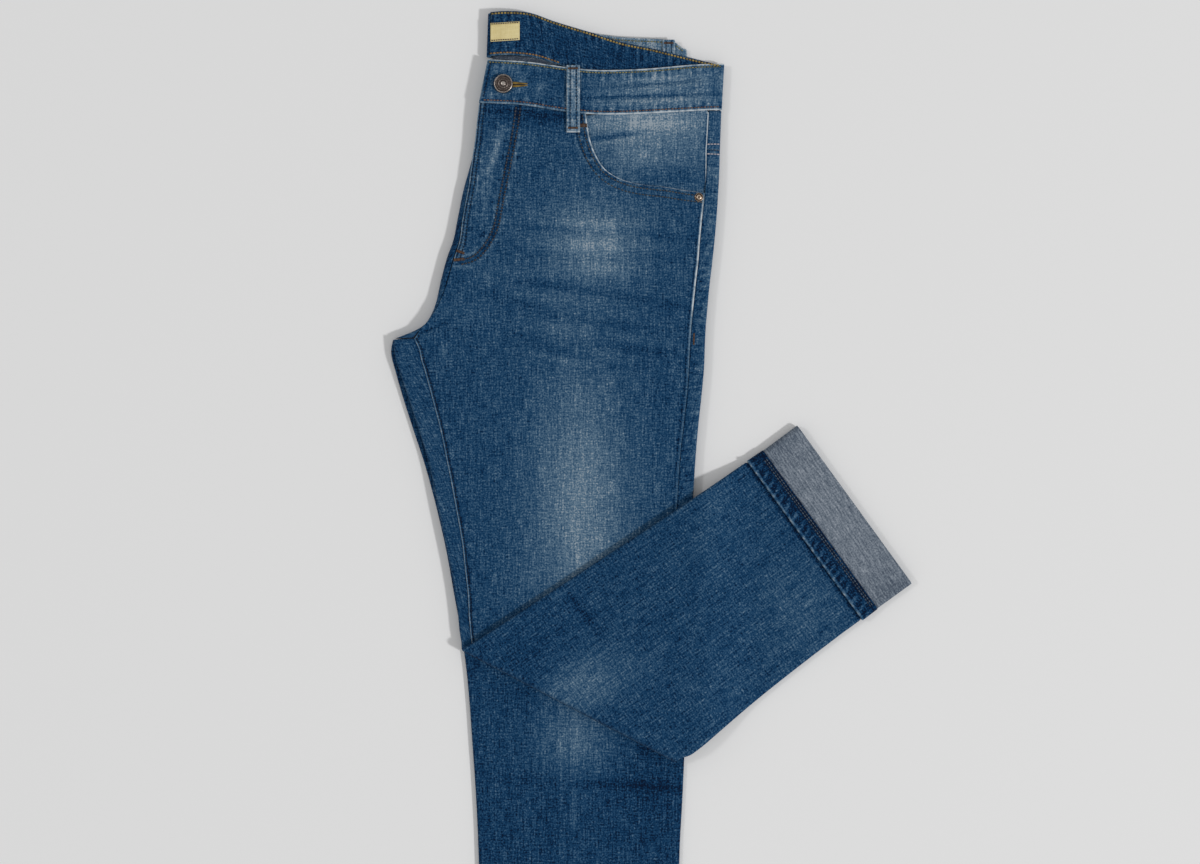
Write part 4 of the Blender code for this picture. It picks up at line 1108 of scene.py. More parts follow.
CALF_ROWS = (
    Row(-180.4, -118.0, 25.0, -216.0, 12.3, 15.0),
    Row(-179.5, -148.0, 23.6, -232.0, 12.3, 15.0),
    Row(-178.7, -178.0, 22.2, -249.0, 12.3, 15.0),
    Row(-177.8, -208.0, 20.8, -267.0, 12.3, 15.0),
    Row(-177.0, -238.0, 19.4, -285.0, 12.3, 15.0),
    Row(-176.2, -268.0, 18.0, -304.0, 12.3, 15.0),
    Row(-175.4, -298.0, 16.8, -324.0, 12.3, 15.0),
    Row(-174.7, -328.0, 15.6, -346.0, 12.3, 15.0),
    Row(-174.1, -358.0, 14.6, -369.0, 12.3, 15.0),
    Row(-173.6, -384.0, 13.8, -390.0, 12.3, 15.0),
    Row(-173.2, -405.0, 13.4, -408.5, 12.3, 15.0),
    Row(-171.4, -407.5, 12.6, -411.0, 12.3, 15.0),
    Row(-171.2, -425.5, 11.8, -429.0, 12.3, 15.0),
    Row(-172.4, -466.0, 11.0, -469.6, 12.3, 15.0),
)
HEM_TOP, HEM_FOOT, CUFF_MOUTH = CALF_ROWS[-3:]

# Rows along the knee fold: how far past the fold line, and where their two ends are
FoldRow = namedtuple("FoldRow", "past left_x right_x")
FOLD_ROWS_ABOVE = (FoldRow(-30.0, -185.5, 33.2), FoldRow(-15.0, -183.8, 29.6))
FOLD_ENDS = FoldRow(0.0, -182.0, 22.6)
FOLD_ROWS_BELOW = (FoldRow(13.0, -181.0, 25.4),)
FOLD_STEPS = 8


def fold_row(past, left_x, right_x):
    left_y, right_y = (FOLD_LEFT[1] + (past - (x - FOLD_LEFT[0]) * FOLD_DOWN[0]) / FOLD_DOWN[1]
                       for x in (left_x, right_x))
    return Row(left_x, left_y, right_x, right_y, 12.4, 15.0)


rows_past_hip = [fold_row(*row) for row in FOLD_ROWS_ABOVE]
for i in range(FOLD_STEPS + 1):
    past = FOLD_START + pi * FOLD_RADIUS * i / FOLD_STEPS
    rows_past_hip.append(fold_row(past, FOLD_ENDS.left_x, FOLD_ENDS.right_x))
rows_past_hip += [fold_row(*row) for row in FOLD_ROWS_BELOW] + list(CALF_ROWS)

left_seat, left_places = refined(LEFT_ROWS[:CROTCH_ROW + 1])
thigh_rows, _ = refined(list(LEFT_ROWS[CROTCH_ROW:]) + rows_past_hip[:3])
knee_rows, _ = refined(rows_past_hip[2:11], 0.7)
calf_rows, calf_places = refined(rows_past_hip[10:])
left_rows = np.vstack([left_seat[:-1], thigh_rows[:-1], knee_rows[:-1], calf_rows])
hem_top_row = len(left_rows) - len(calf_rows) + calf_places[-3]
left_crotch = len(left_seat) - 1

LEFT_BACK_FADE_AND_SHADE = fade_and_shade(0.34, (
    Patch(-66.0, -112.0, 46.0, 25.0, 30.0, 0.27),
    Patch(-20.0, -104.0, 40.0, 12.0, 31.0, 0.07),
    # Painted shade in a crease on the calf
    Patch(-64.0, -47.0, 24.0, 3.2, -52.0, -0.24),
    Patch(44.0, 124.0, 12.0, 60.0, 0.0, 0.12),
    Patch(142.0, -40.0, 52.0, 52.0, 0.0, 0.15),
    Patch(66.0, -120.0, 52.0, 30.0, 34.0, 0.06),
    Patch(66.0, 30.0, 70.0, 30.0, 32.0, 0.05),
    Patch(-132.0, -80.0, 40.0, 26.0, 25.0, -0.09),
    Patch(60.0, 290.0, 14.0, 200.0, 0.0, 0.2),
    Patch(-205.0, 100.0, 34.0, 160.0, 20.0, 0.08),
))
left_yoke_row = left_places[YOKE_ROW]
grid, there = back_grid(left_rows[left_yoke_row:], left_crotch - left_yoke_row, UPPER, False)
inner_seam = from_column(grid, 0)
outer_seam = from_column(grid, -1)
seams = np.minimum(inner_seam, outer_seam)
# Painted shadow that the raised hem casts on the calf beside it
painted_hem_shadow = 1 - smooth(2.5, 5.5, from_row(grid, hem_top_row - left_yoke_row))
beside_outseam = stripe(outer_seam, 2.5, 10.0, 2.0)
line = sum([
    # Painted shade along both seam edges
    -0.12 * (1 - smooth(0.6, 1.8, seams)),
    -0.26 * painted_hem_shadow,
    0.09 * beside_outseam * ripples(grid[:, :, 1], 8.0),
])
left_back = cloth("back_left", grid, WALL, lie_above, LEFT_BACK_FADE_AND_SHADE, there=there, line=line,
                  puckered=0.4 * stripe(outer_seam, 1.0, 13.0, 1.5))
side_edge = grid[:, -1, :2]
dress("left_back")


# Left yoke: its side edge wraps to the front above the back panel, and its inside lines the opening.
# It is sewn to the back panel between rows of pale thread.

LEFT_BACK_BAND = (
    Station(-156.4, 528.8, -158.2, 487.4),
    Station(-138.0, 529.9, -137.0, 488.6),
    Station(-116.0, 528.1, -112.0, 486.4),
    Station(-92.0, 519.6, -87.0, 478.6),
    Station(-55.3, 508.5, -53.0, 466.4),
    Station(-27.8, 499.8, -27.0, 457.4),
    Station(-0.3, 494.2, -1.0, 451.8),
    Station(27.3, 487.4, 25.0, 444.8),
    Station(54.8, 481.0, 51.0, 438.2),
    Station(66.4, 479.7, 64.0, 435.9),
)
LEFT_FRONT_BAND = (
    Station(66.4, 479.7, 64.0, 435.9),
    Station(36.5, 477.9, 35.5, 434.3),
    Station(-0.6, 474.5, -1.5, 432.3),
    Station(-27.8, 473.1, -29.5, 431.2),
    Station(-55.3, 473.1, -58.0, 431.6),
    Station(-85.1, 476.3, -88.5, 434.8),
    Station(-119.6, 481.1, -124.5, 440.4),
    Station(-156.4, 483.4, -164.7, 442.4),
)
grid = yoke_grid(left_rows[left_yoke_row], LEFT_BACK_BAND, LEFT_FRONT_BAND, UPPER, False)
left_yoke = cloth("yoke_left", grid, WALL, lie_above, fade_and_shade(0.5, ()), inner_tone=0.33)
side_edge = np.vstack([grid[:, -1, :2], side_edge])
side_edge = side_edge[np.argsort(side_edge[:, 1])]
dress("left_yoke")
sew("yoke_stitches", left_yoke, [
    stitched([(52.6, 402.6), (66.5, 403.0)], share=0.96),
], pale_thread, 1.3)
sew("yoke_back_stitches", left_back, [
    stitched([(52.6, 393.6), (66.0, 393.0)], share=0.96),
], pale_thread, 1.3)
sew("yoke_seam_stitches", left_back, [stitched([(52.6, 397.4), (66.0, 397.0)])], dark_thread, 1.0)
sew("side_bartack", left_back, [bartack(40.2, 217.0, 11.0, 88.0, 1.9)], rust_thread, 0.75)


# Left front: the palest panel, on top. Its upper right side is cut away in a curve for the pocket,
# and its left side is the fly, which laps over the right front.

CurvePoint = namedtuple("CurvePoint", "x y")
POCKET_CURVE = (
    CurvePoint(-63.0, 431.0),
    CurvePoint(-61.4, 419.0),
    CurvePoint(-59.0, 407.0),
    CurvePoint(-54.4, 394.3),
    CurvePoint(-46.3, 380.8),
    CurvePoint(-35.3, 372.3),
    CurvePoint(-21.8, 366.8),
    CurvePoint(-4.7, 363.6),
    CurvePoint(13.7, 361.6),
    CurvePoint(32.0, 358.6),
    CurvePoint(50.6, 356.3),
)
POCKET_END_ROW = 5

# Where the front's rows above the side seam end, counted along the pocket's curve
PocketRow = namedtuple("PocketRow", "left_y along")
POCKET_ROWS = (
    PocketRow(442.1, 0.0),
    PocketRow(427.0, 0.1),
    PocketRow(412.0, 0.2),
    PocketRow(400.0, 0.3),
    PocketRow(389.0, 0.4),
    PocketRow(378.0, 0.52),
    PocketRow(367.0, 0.68),
    PocketRow(356.0, 0.84),
    PocketRow(345.0, 1.0),
)
POCKET_STEPS = 64
CURVE_PARTS = 400
FRONT_COLUMNS = 100
BAND_FIT_ROWS = 9
TOP = TUBE - WALL / 2

curve = through(POCKET_CURVE, CURVE_PARTS + 1)
grid = []
for t in np.linspace(0, len(POCKET_ROWS) - 1, POCKET_STEPS):
    left_y, along = (np.interp(t, range(len(POCKET_ROWS)), values) for values in zip(*POCKET_ROWS))
    left_x = np.interp(left_y, left_seat[::-1, 1], (left_seat[:, 0] + left_seat[:, 4])[::-1])
    right_x, right_y = curve[round(along * CURVE_PARTS)]
    row = (left_x, left_y, right_x, right_y - SEAM_GAP / 2)
    section = level(beside(0.0, width_of(row), FRONT_COLUMNS, BESIDE_HEM), TOP, 1)
    grid.append(laid(row, section, UPPER))
for row in left_rows[left_places[POCKET_END_ROW]:]:
    end = width_of(row) - row[5] - SEAM_GAP / 2
    section = level(beside(row[4] + SEAM_GAP / 2, end, FRONT_COLUMNS, BESIDE_HEM), TOP, 1)
    grid.append(laid(row, section, UPPER))
grid = np.array(grid)
up_to_band(grid, BAND_FIT_ROWS, LEFT_FRONT_BAND, 0)
grid[:, :, 6:8] = grid[:, :, :2]

# The fly: a second layer under the front as far as a seam that curves down and back to its edge
FLY_SEAM = (
    CurvePoint(-127.0, 441.0),
    CurvePoint(-131.4, 411.5),
    CurvePoint(-138.8, 374.7),
    CurvePoint(-144.6, 345.3),
    CurvePoint(-149.1, 323.2),
    CurvePoint(-158.0, 305.7),
    CurvePoint(-169.5, 293.9),
    CurvePoint(-184.3, 289.4),
)
FLY_ROWS_APART = 4.2
FLY_FOOT_Y = 291.0
FLY_EDGE_FOOT_Y = 292.0
FLY_RISE = 0.45
INSEAM_TOP_Y = 219.0
INSEAM_SEEN_TO_Y = -76.0
POCKET_HEM = 11.6
POCKET_HEM_RISE = 0.5
SEAM_RISE = 0.35
OUTSEAM_WORN_DOWN_TO = 222.0

x, y = grid[:, :, 0], grid[:, :, 1]
fly_seam = through(FLY_SEAM, 80)
from_fly_seam = np.hypot(x[..., None] - fly_seam[:, 0], y[..., None] - fly_seam[:, 1]).min(2)
fly_seam_x = np.interp(y, fly_seam[::-1, 1], fly_seam[::-1, 0])
on_fly = smooth(FLY_FOOT_Y - 3, FLY_FOOT_Y + 3, y) * smooth(1.5, -1.5, x - fly_seam_x)
from_left = from_column(grid, 0)
from_right = from_column(grid, -1)
at_pocket = np.clip((POCKET_STEPS - np.arange(len(grid))) / 3, 0, 1)[:, None]
at_outseam = 1 - at_pocket
at_inseam = smooth(INSEAM_TOP_Y + 5, INSEAM_TOP_Y - 5, y)
at_fly_edge = smooth(FLY_EDGE_FOOT_Y - 4, FLY_EDGE_FOOT_Y + 4, y)
worn_outseam = 0.3 + 0.7 * smooth(OUTSEAM_WORN_DOWN_TO - 40, OUTSEAM_WORN_DOWN_TO + 40, y)
rubbed = np.maximum.reduce([
    at_pocket * 0.95 * (1 - smooth(0.9, 2.1, from_right)),
    at_outseam * worn_outseam * (1 - smooth(1.1, 2.3, from_right)),
    at_inseam * 0.7 * (1 - smooth(0.6, 1.4, from_left)),
    at_fly_edge * 0.72 * (1 - smooth(0.4, 1.3, from_left)),
])
line = sum([
    at_pocket * -0.02 * stripe(from_right, 2.4, POCKET_HEM),
    # Painted shade where the pocket's hem steps down
    at_pocket * -0.24 * stripe(from_right, POCKET_HEM - 0.4, POCKET_HEM + 1.0),
    at_pocket * 0.12 * stripe(from_right, POCKET_HEM + 1.2, POCKET_HEM + 3.0),
    # The next two: painted shade beside the raised side seam and inseam
    at_outseam * -0.28 * stripe(from_right, 2.4, 4.0),
    at_inseam * -0.24 * stripe(from_left, 1.2, 3.6),
    at_fly_edge * -0.2 * stripe(from_left, 1.3, 2.3),
    at_fly_edge * 0.2 * stripe(from_left, 2.6, 4.2),
    at_fly_edge * -0.2 * stripe(from_left, 4.6, 6.2),
    at_fly_edge * 0.1 * stripe(from_left, 7.0, 9.0, 0.8),
    -0.1 * (1 - smooth(1.6, 3.2, from_fly_seam)),
    # Painted highlight outside the fly seam
    0.17 * stripe(from_fly_seam, 3.4, 6.2, 1.0),
    0.08 * stripe(from_fly_seam, 3.4, 9.0, 2.0) * ripples(y, 8.0),
])
puckered = np.maximum.reduce([
    at_pocket * 0.8 * stripe(from_right, 1.6, POCKET_HEM),
    0.35 * on_fly,
    at_inseam * 0.4 * stripe(from_left, 2.0, 9.0, 2.0),
    at_outseam * 0.3 * stripe(from_right, 2.0, 8.0, 2.0),
    0.25 * (1 - smooth(4.0, 10.0, from_fly_seam)),
])
proud = sum([
    at_pocket * POCKET_HEM_RISE * (1 - smooth(POCKET_HEM - 0.4, POCKET_HEM + 1.2, from_right)),
    at_outseam * SEAM_RISE * (1 - smooth(0.9, 2.4, from_right)),
    at_inseam * SEAM_RISE * (1 - smooth(0.9, 2.4, from_left)),
    FLY_RISE * on_fly,
])
LEFT_FRONT_FADE_AND_SHADE = fade_and_shade(0.38, (
    Patch(-69.0, 66.0, 45.0, 140.0, 0.0, 0.32),
    Patch(-62.0, 20.0, 74.0, 130.0, 0.0, 0.09),
    Patch(-54.0, 314.0, 50.0, 40.0, 0.0, 0.25),
    Patch(-60.0, 310.0, 110.0, 90.0, 0.0, 0.08),
    Patch(-160.0, 366.0, 14.0, 60.0, -8.0, 0.02),
    # The next three: painted shade under the waistband's foot
    Patch(-135.0, 432.0, 14.0, 9.0, 0.0, -0.16),
    Patch(-100.0, 427.0, 60.0, 7.0, 0.0, -0.15),
    Patch(-120.0, 433.5, 50.0, 4.6, -6.0, -0.17),
    Patch(-149.0, 398.0, 3.6, 32.0, -18.0, 0.36),
    Patch(-158.0, 350.0, 2.4, 34.0, -13.0, 0.18),
    Patch(-166.0, 366.0, 2.4, 30.0, -14.0, 0.14),
    Patch(-141.0, 386.0, 3.0, 34.0, -15.0, -0.16),
    Patch(-184.0, 240.0, 28.0, 16.0, 0.0, 0.07),
    Patch(-160.0, 312.0, 12.0, 10.0, 0.0, -0.12),
    Patch(-60.0, 327.0, 42.0, 4.2, -2.0, 0.14),
    Patch(-96.0, 322.0, 34.0, 3.6, -3.0, -0.13),
    Patch(4.0, 316.0, 40.0, 4.0, -9.0, -0.13),
    Patch(-56.0, 306.0, 36.0, 6.6, -2.0, 0.13),
    Patch(-112.0, 299.0, 24.0, 5.0, -4.0, -0.1),
    Patch(14.0, 295.0, 30.0, 4.6, -6.0, -0.07),
    Patch(-50.0, 284.0, 34.0, 7.0, -4.0, 0.15),
    Patch(-102.0, 269.0, 30.0, 4.4, -10.0, -0.16),
    Patch(-34.0, 259.0, 60.0, 3.8, -9.0, -0.13),
    Patch(24.0, 247.0, 20.0, 5.0, -12.0, -0.07),
    Patch(-92.0, 256.0, 36.0, 4.4, -8.0, 0.1),
    Patch(-122.0, 250.0, 34.0, 3.8, -20.0, -0.12),
    Patch(-36.0, 231.0, 50.0, 4.0, -6.0, -0.1),
    Patch(-92.0, 228.0, 34.0, 8.0, -4.0, 0.1),
    Patch(-120.0, 219.0, 24.0, 4.0, -16.0, -0.09),
    Patch(-17.0, 207.0, 42.0, 3.4, -7.0, -0.17),
    Patch(-90.0, 204.0, 38.0, 3.2, -12.0, -0.15),
    Patch(-78.0, 196.0, 36.0, 3.6, -11.0, 0.1),
    Patch(-8.0, 216.0, 40.0, 3.4, -9.0, 0.09),
    Patch(-30.0, 189.0, 44.0, 3.4, 4.0, -0.09),
    Patch(-150.0, 280.0, 34.0, 10.0, -10.0, 0.06),
    # The next two: painted shade in the crotch creases
    Patch(-205.0, 229.0, 26.0, 1.6, 22.0, -0.2),
    Patch(-186.0, 226.0, 20.0, 1.6, -24.0, -0.2),
    Patch(-198.0, 203.0, 4.0, 16.0, 16.0, 0.1),
))
left_front = cloth("front_left", grid, WALL, lie_above, LEFT_FRONT_FADE_AND_SHADE, line=line, rubbed=rubbed,
                   puckered=puckered, proud=proud)
dress("left_front")

pocket_curve = through(POCKET_CURVE, 120)
fly_edge = [(x, y) for x, y in grid[:, 0, :2] if y > FLY_EDGE_FOOT_Y]
inseam = [(x, y) for x, y in grid[:, 0, :2] if INSEAM_SEEN_TO_Y < y < INSEAM_TOP_Y + 3]
sew("front_fly_stitches", left_front, [
    stitched(fly_seam, -FLY_ROWS_APART / 2),
    stitched(fly_seam, FLY_ROWS_APART / 2),
], dark_thread, 1.5)
sew("front_grey_stitches", left_front, [
    stitched(pocket_curve, -3.4),
    stitched(pocket_curve, -9.4),
], grey_thread, 1.15)
sew("front_navy_stitches", left_front, [
    stitched(fly_edge, 1.8),
    stitched(fly_edge, 5.2),
    stitched(inseam, 2.2),
], navy_thread, 1.0)
sew("front_bartacks", left_front, [
    bartack(-184.6, 300.4, 12.0, -20.0, 3.0),
    bartack(-185.6, 292.4, 13.0, 6.0, 3.4),
    bartack(-189.6, 296.4, 8.0, 72.0, 2.2),
    bartack(-66.0, 420.5, 9.0, 0.0, 4.4),
], rust_thread, 0.8)


# Left pocket facing: the denim in the pocket's mouth. It runs on under the front's curved edge, and
# comes up level with it towards the waistband and the side seam.

FACING_UNDERLAP = 8.0
FACING_RISE = 22.0
FACING_COUNT = 90
FACING_COLUMNS = 32
FACING_CORNER = 7 / 12
FACING_LEFT = -52.0
FACING_TOP = 433.0
FACING_FOOT = 366.0


def side_seam_x(y):
    return np.interp(y, side_edge[:, 1], side_edge[:, 0]) - SEAM_GAP


curve = through(POCKET_CURVE, FACING_COUNT)
foot = through([(station.foot_x, station.foot_y) for station in LEFT_FRONT_BAND], 120)[::-1]
grid = []
for i, at in enumerate(curve):
    ahead = curve[min(i + 1, FACING_COUNT - 1)] - curve[max(i - 1, 0)]
    low = at + np.array([ahead[1], -ahead[0]]) / hypot(*ahead) * FACING_UNDERLAP
    low[1] = min(low[1], np.interp(low[0], foot[:, 0], foot[:, 1]) - SEAM_GAP)
    low[0] = min(low[0], side_seam_x(low[1]))
    share = i / (FACING_COUNT - 1)
    if share <= FACING_CORNER:
        x = FACING_LEFT + (side_seam_x(FACING_TOP) - FACING_LEFT) * share / FACING_CORNER
        high = np.array([x, np.interp(x, foot[:, 0], foot[:, 1]) - SEAM_GAP])
    else:
        y = FACING_TOP + (FACING_FOOT - FACING_TOP) * (share - FACING_CORNER) / (1 - FACING_CORNER)
        high = np.array([side_seam_x(y), y])
    run = hypot(*(high - low))
    line = []
    for across in beside(0.0, 1.0, FACING_COLUMNS, [offset / run for offset in BESIDE_SEAM]):
        x, y = low + (high - low) * across
        up = smooth(FACING_UNDERLAP, FACING_UNDERLAP + FACING_RISE, across * run)
        line.append((x, y, UPPER + TUBE / 2 + (TUBE / 2 - WALL / 2) * up, 0, 0, 1, x, y))
    grid.append(line)
grid = np.array(grid)
FACING_FADE_AND_SHADE = fade_and_shade(0.58, (
    Patch(-2.0, 425.0, 62.0, 13.0, 0.0, 0.34),
    Patch(-8.0, 396.0, 44.0, 18.0, 0.0, 0.16),
    Patch(20.0, 372.0, 46.0, 12.0, 0.0, -0.16),
    Patch(-44.0, 392.0, 8.0, 26.0, 0.0, -0.08),
    # Painted shade in a crease
    Patch(-36.0, 410.5, 25.0, 1.7, 8.0, -0.42),
    Patch(-36.0, 405.0, 26.0, 2.6, 6.0, 0.12),
    Patch(14.0, 396.0, 30.0, 3.0, -10.0, -0.1),
    Patch(10.0, 427.0, 40.0, 2.0, 2.0, -0.12),
))
at_side = (np.arange(FACING_COUNT) / (FACING_COUNT - 1) > FACING_CORNER)[:, None]
from_side = from_column(grid, -1)
left_facing = cloth("facing_left", grid, WALL, lie_above, FACING_FADE_AND_SHADE,
                    rubbed=at_side * (1 - smooth(1.1, 2.3, from_side)),
                    # Painted shade beside the raised side seam
                    line=at_side * -0.32 * stripe(from_side, 2.4, 4.0),
                    proud=at_side * SEAM_RISE * (1 - smooth(0.9, 2.4, from_side)))
dress("left_pocket_facing")


# Rivet at the pocket's corner: a turned copper cap over a post that goes through all the layers. It
# is dark in its groove, and bright on its dome as a painted highlight.

# How bright each ring of a turned part is: worn bright on rims, darker in grooves, and a painted highlight
# on its top
ProfilePoint = namedtuple("ProfilePoint", "radius height shine")
TURNED_STEPS = 48
RIVET_X, RIVET_Y = 45.0, 352.0
RIVET_RISE = 0.6
RIVET = (
    ProfilePoint(3.6, 0.0, 0.1),
    ProfilePoint(4.1, 0.15, 0.3),
    ProfilePoint(4.1, 0.5, 0.7),
    ProfilePoint(3.7, 0.78, 0.8),
    ProfilePoint(3.0, 0.62, 0.1),
    ProfilePoint(2.7, 0.8, 0.3),
    ProfilePoint(2.2, 1.25, 0.8),
    ProfilePoint(1.3, 1.5, 1.0),
    ProfilePoint(0.7, 1.42, 0.5),
    ProfilePoint(0.0, 1.4, 0.4),
)


def metal_finish(name, deep, middle, bright):
    finish = Finish(name, Metallic=1.0)
    shine = finish.measured("tone")
    place = finish.add("ShaderNodeUVMap", {"uv_map": "cut"}, {})
    scuffs = finish.grain(place, (900.0, 900.0), 3.0, 7.0)
    stops = ((0.0, screen(*deep)), (0.5, screen(*middle)), (1.0, screen(*bright)))
    finish.vary("Base Color", finish.add("ShaderNodeValToRGB", {"stops": stops}, [shine + scuffs * 0.8]))
    finish.vary("Roughness", 0.5 - 0.2 * shine + scuffs * 0.4)
    bump = finish.add("ShaderNodeBump", {}, {"Strength": 0.3, "Distance": 0.0001, "Height": scuffs})
    finish.vary("Normal", bump)
    return finish.made


def turned(name, node, profile, x, y, floor, finish):
    """A metal part turned to a profile, standing on the cloth at a place."""
    places = []
    wears_and_highlights = []
    for point in profile[:-1]:
        for i in range(TURNED_STEPS):
            turn = tau * i / TURNED_STEPS
            places.append((x + point.radius * cos(turn), y + point.radius * sin(turn),
                           floor + point.height))
            wears_and_highlights.append(point.shine)
    places.append((x, y, floor + profile[-1].height))
    wears_and_highlights.append(profile[-1].shine)
    faces = [list(reversed(range(TURNED_STEPS)))] + tube_faces(0, len(profile) - 1, TURNED_STEPS)
    low = (len(profile) - 2) * TURNED_STEPS
    faces += [(low + i, low + (i + 1) % TURNED_STEPS, len(places) - 1) for i in range(TURNED_STEPS)]
    mesh = bpy.data.meshes.new(name)
    mesh.from_pydata((np.array(places) * MM).tolist(), [], faces)
    mesh.uv_layers.new(name="cut")
    flat = np.array(places)[[loop.vertex_index for loop in mesh.loops], :2] * MM
    mesh.uv_layers["cut"].data.foreach_set("uv", flat.reshape(-1).astype(np.float32))
    mesh.attributes.new("tone", "FLOAT", "POINT").data.foreach_set("value", wears_and_highlights)
    mesh.materials.append(finish)
    mesh.shade_smooth()
    part = put_in_scene(name, mesh)
    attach(part, "root")
    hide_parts(node)


copper = metal_finish("copper", (28, 22, 20), (96, 74, 58), (218, 198, 178))
rivet_floor = lie_above(RIVET_X, RIVET_Y, STACK)[2] + RIVET_RISE
turned("rivet_cap", "rivet", RIVET, RIVET_X, RIVET_Y, float(rivet_floor), copper)


# Left half of the waistband: along the back it shows its inside, above the front its outside, and
# its two runs meet in a fold at the side. It is paler right of the belt loop.

low_run = UPPER_BAND + BAND_WALL / 2
high_run = UPPER_BAND + BAND_TUBE - BAND_WALL / 2
back = through(LEFT_BACK_BAND, BAND_STATIONS)
# The back run stops short of the fold at the centre back
BACK_RUN_SHORT = 3.9
back[0] += (BACK_RUN_SHORT, 0.0, BACK_RUN_SHORT, 0.0)
front = through(LEFT_FRONT_BAND, BAND_STATIONS)
lines = [band_line(station, low_run, 0.0, -1.0) for station in back[:-1]]
lines += band_bend(LEFT_BACK_BAND[-1], 1, low_run, high_run, -90, 90)
lines += [band_line(station, high_run) for station in front[1:]]
grid = band_grid(lines)
LEFT_BAND_FADE_AND_SHADING = fade_and_shade(0.4, (
    Patch(12.0, 456.0, 74.0, 30.0, 2.0, 0.36),
    Patch(-147.0, 475.0, 13.0, 4.6, 0.0, 0.18),
    Patch(-147.0, 449.0, 15.0, 4.6, -5.0, 0.18),
    Patch(-126.0, 468.0, 3.4, 15.0, 20.0, 0.18),
    Patch(-106.0, 476.0, 13.0, 3.6, -8.0, 0.15),
    Patch(-112.0, 452.0, 4.0, 11.0, -40.0, 0.12),
    Patch(-90.0, 462.0, 9.0, 18.0, 0.0, -0.12),
    # The next six: painted shade and painted highlights along the band's creases
    Patch(0.0, 448.6, 66.0, 1.7, 2.0, -0.38),
    Patch(0.0, 443.5, 64.0, 2.6, 2.0, 0.1),
    Patch(-4.0, 459.5, 40.0, 2.0, 4.0, -0.24),
    Patch(40.0, 455.5, 24.0, 1.8, 6.0, -0.18),
    Patch(6.0, 464.0, 50.0, 2.4, 4.0, 0.08),
    Patch(-16.0, 468.5, 34.0, 1.8, 3.0, -0.1),
    Patch(-66.0, 455.0, 6.0, 30.0, 0.0, -0.12),
    Patch(-120.0, 452.0, 10.0, 2.4, 20.0, -0.1),
    Patch(-96.0, 464.0, 18.0, 2.6, 34.0, 0.08),
))
LEFT_BAND_LINING = fade_and_shade(0.24, (
    Patch(-120.0, 505.0, 20.0, 6.0, -30.0, 0.05),
    Patch(-60.0, 490.0, 30.0, 8.0, -20.0, 0.04),
    Patch(-146.0, 496.0, 14.0, 6.0, 0.0, 0.05),
))
in_front = (np.arange(len(grid)) >= BAND_STATIONS)[:, None]
in_back = 1 - in_front
depth = -grid[:, :, 7]
deep = depth.max(1)[:, None]
from_end = from_row(grid, -1)
edges = beside_edges(grid, 0.5, 1.8)
worn = 0.95 - 0.35 * (depth > deep / 2) * smooth(-50.0, -90.0, grid[:, :, 0])
rubbed = np.maximum.reduce([
    in_front * worn * edges,
    in_front * 0.55 * (1 - smooth(0.4, 1.6, from_end)),
    in_back * 0.4 * edges * (depth > deep / 2),
])
drawn_in = beside_edges(grid, 5.0, 14.0) * ripples(grid[:, :, 6], 7.6)
line = in_front * (-0.12 * stripe(depth, 1.9, 3.4) - 0.16 * stripe(deep - depth, 1.9, 3.2)
                   - 0.2 * stripe(from_end, 1.8, 3.4) + 0.15 * drawn_in)
waistband_left = cloth("band_left", grid, BAND_WALL, lie_above, LEFT_BAND_FADE_AND_SHADING, line=line, rubbed=rubbed,
                       puckered=0.4 * beside_edges(grid, 4.0, 12.0), inner_tone=LEFT_BAND_LINING,
                       inner_line=in_back * 0.26 * np.maximum(drawn_in, -0.2), proud=0.12 * drawn_in,
                       bulge=0.45, inside=denim)
dress("waistband_left")

sew("band_top_stitches_back", waistband_left, [
    stitched(band_row(LEFT_BACK_BAND, 0.04), pitch=3.0, share=0.86),
], gold_thread, 1.8)
sew("band_top_stitches_front", waistband_left, [
    stitched(band_row(LEFT_FRONT_BAND, 0.06), pitch=2.9, share=0.84),
], olive_thread, 1.25)
sew("band_foot_stitches_front", waistband_left, [
    stitched(band_row(LEFT_FRONT_BAND, 0.94)),
], brown_thread, 1.2)
sew("band_foot_stitches_back", waistband_left, [
    stitched(band_row(LEFT_BACK_BAND, 0.955, 0.0, 0.3), share=0.9),
], amber_thread, 1.5)
END_ROW = ((-153.6, 480.5), (-157.2, 462.0), (-161.4, 445.5))
sew("band_end_stitches", waistband_left, [stitched(through(END_ROW, 30))], navy_thread, 1.0)


# Belt loop on the left front: like the one behind, sewn on over both edges of the waistband, with its
# lower end turned under.

FRONT_LOOP_X = -75.0
FRONT_LOOP_WIDTH = 12.3
on_band = BAND_STACK + SEAM_GAP + LOOP_WALL / 2
on_front = STACK + SEAM_GAP + LOOP_WALL / 2
FRONT_LOOP = (
    LoopPoint(477.6, on_band),
    LoopPoint(465.0, on_band + 0.6),
    LoopPoint(450.0, on_band + 0.8),
    LoopPoint(437.0, on_band + 0.3),
    LoopPoint(430.0, on_band),
    LoopPoint(424.0, on_front + 0.9),
    LoopPoint(413.9, on_front + 0.5),
)
front_loop = belt_loop("loop_front", FRONT_LOOP_X, FRONT_LOOP_WIDTH, FRONT_LOOP, lie_above, fade_and_shade(0.76, (
    Patch(-75.0, 430.0, 20.0, 5.0, 0.0, -0.12),
    Patch(-75.0, 456.0, 20.0, 6.0, 0.0, 0.05),
)))
dress("belt_loop_front")


# Label: a bare woven tape in cream cotton, sewn inside the back waistband along its two long edges.
# Its other half lies past the centre back, out of sight.

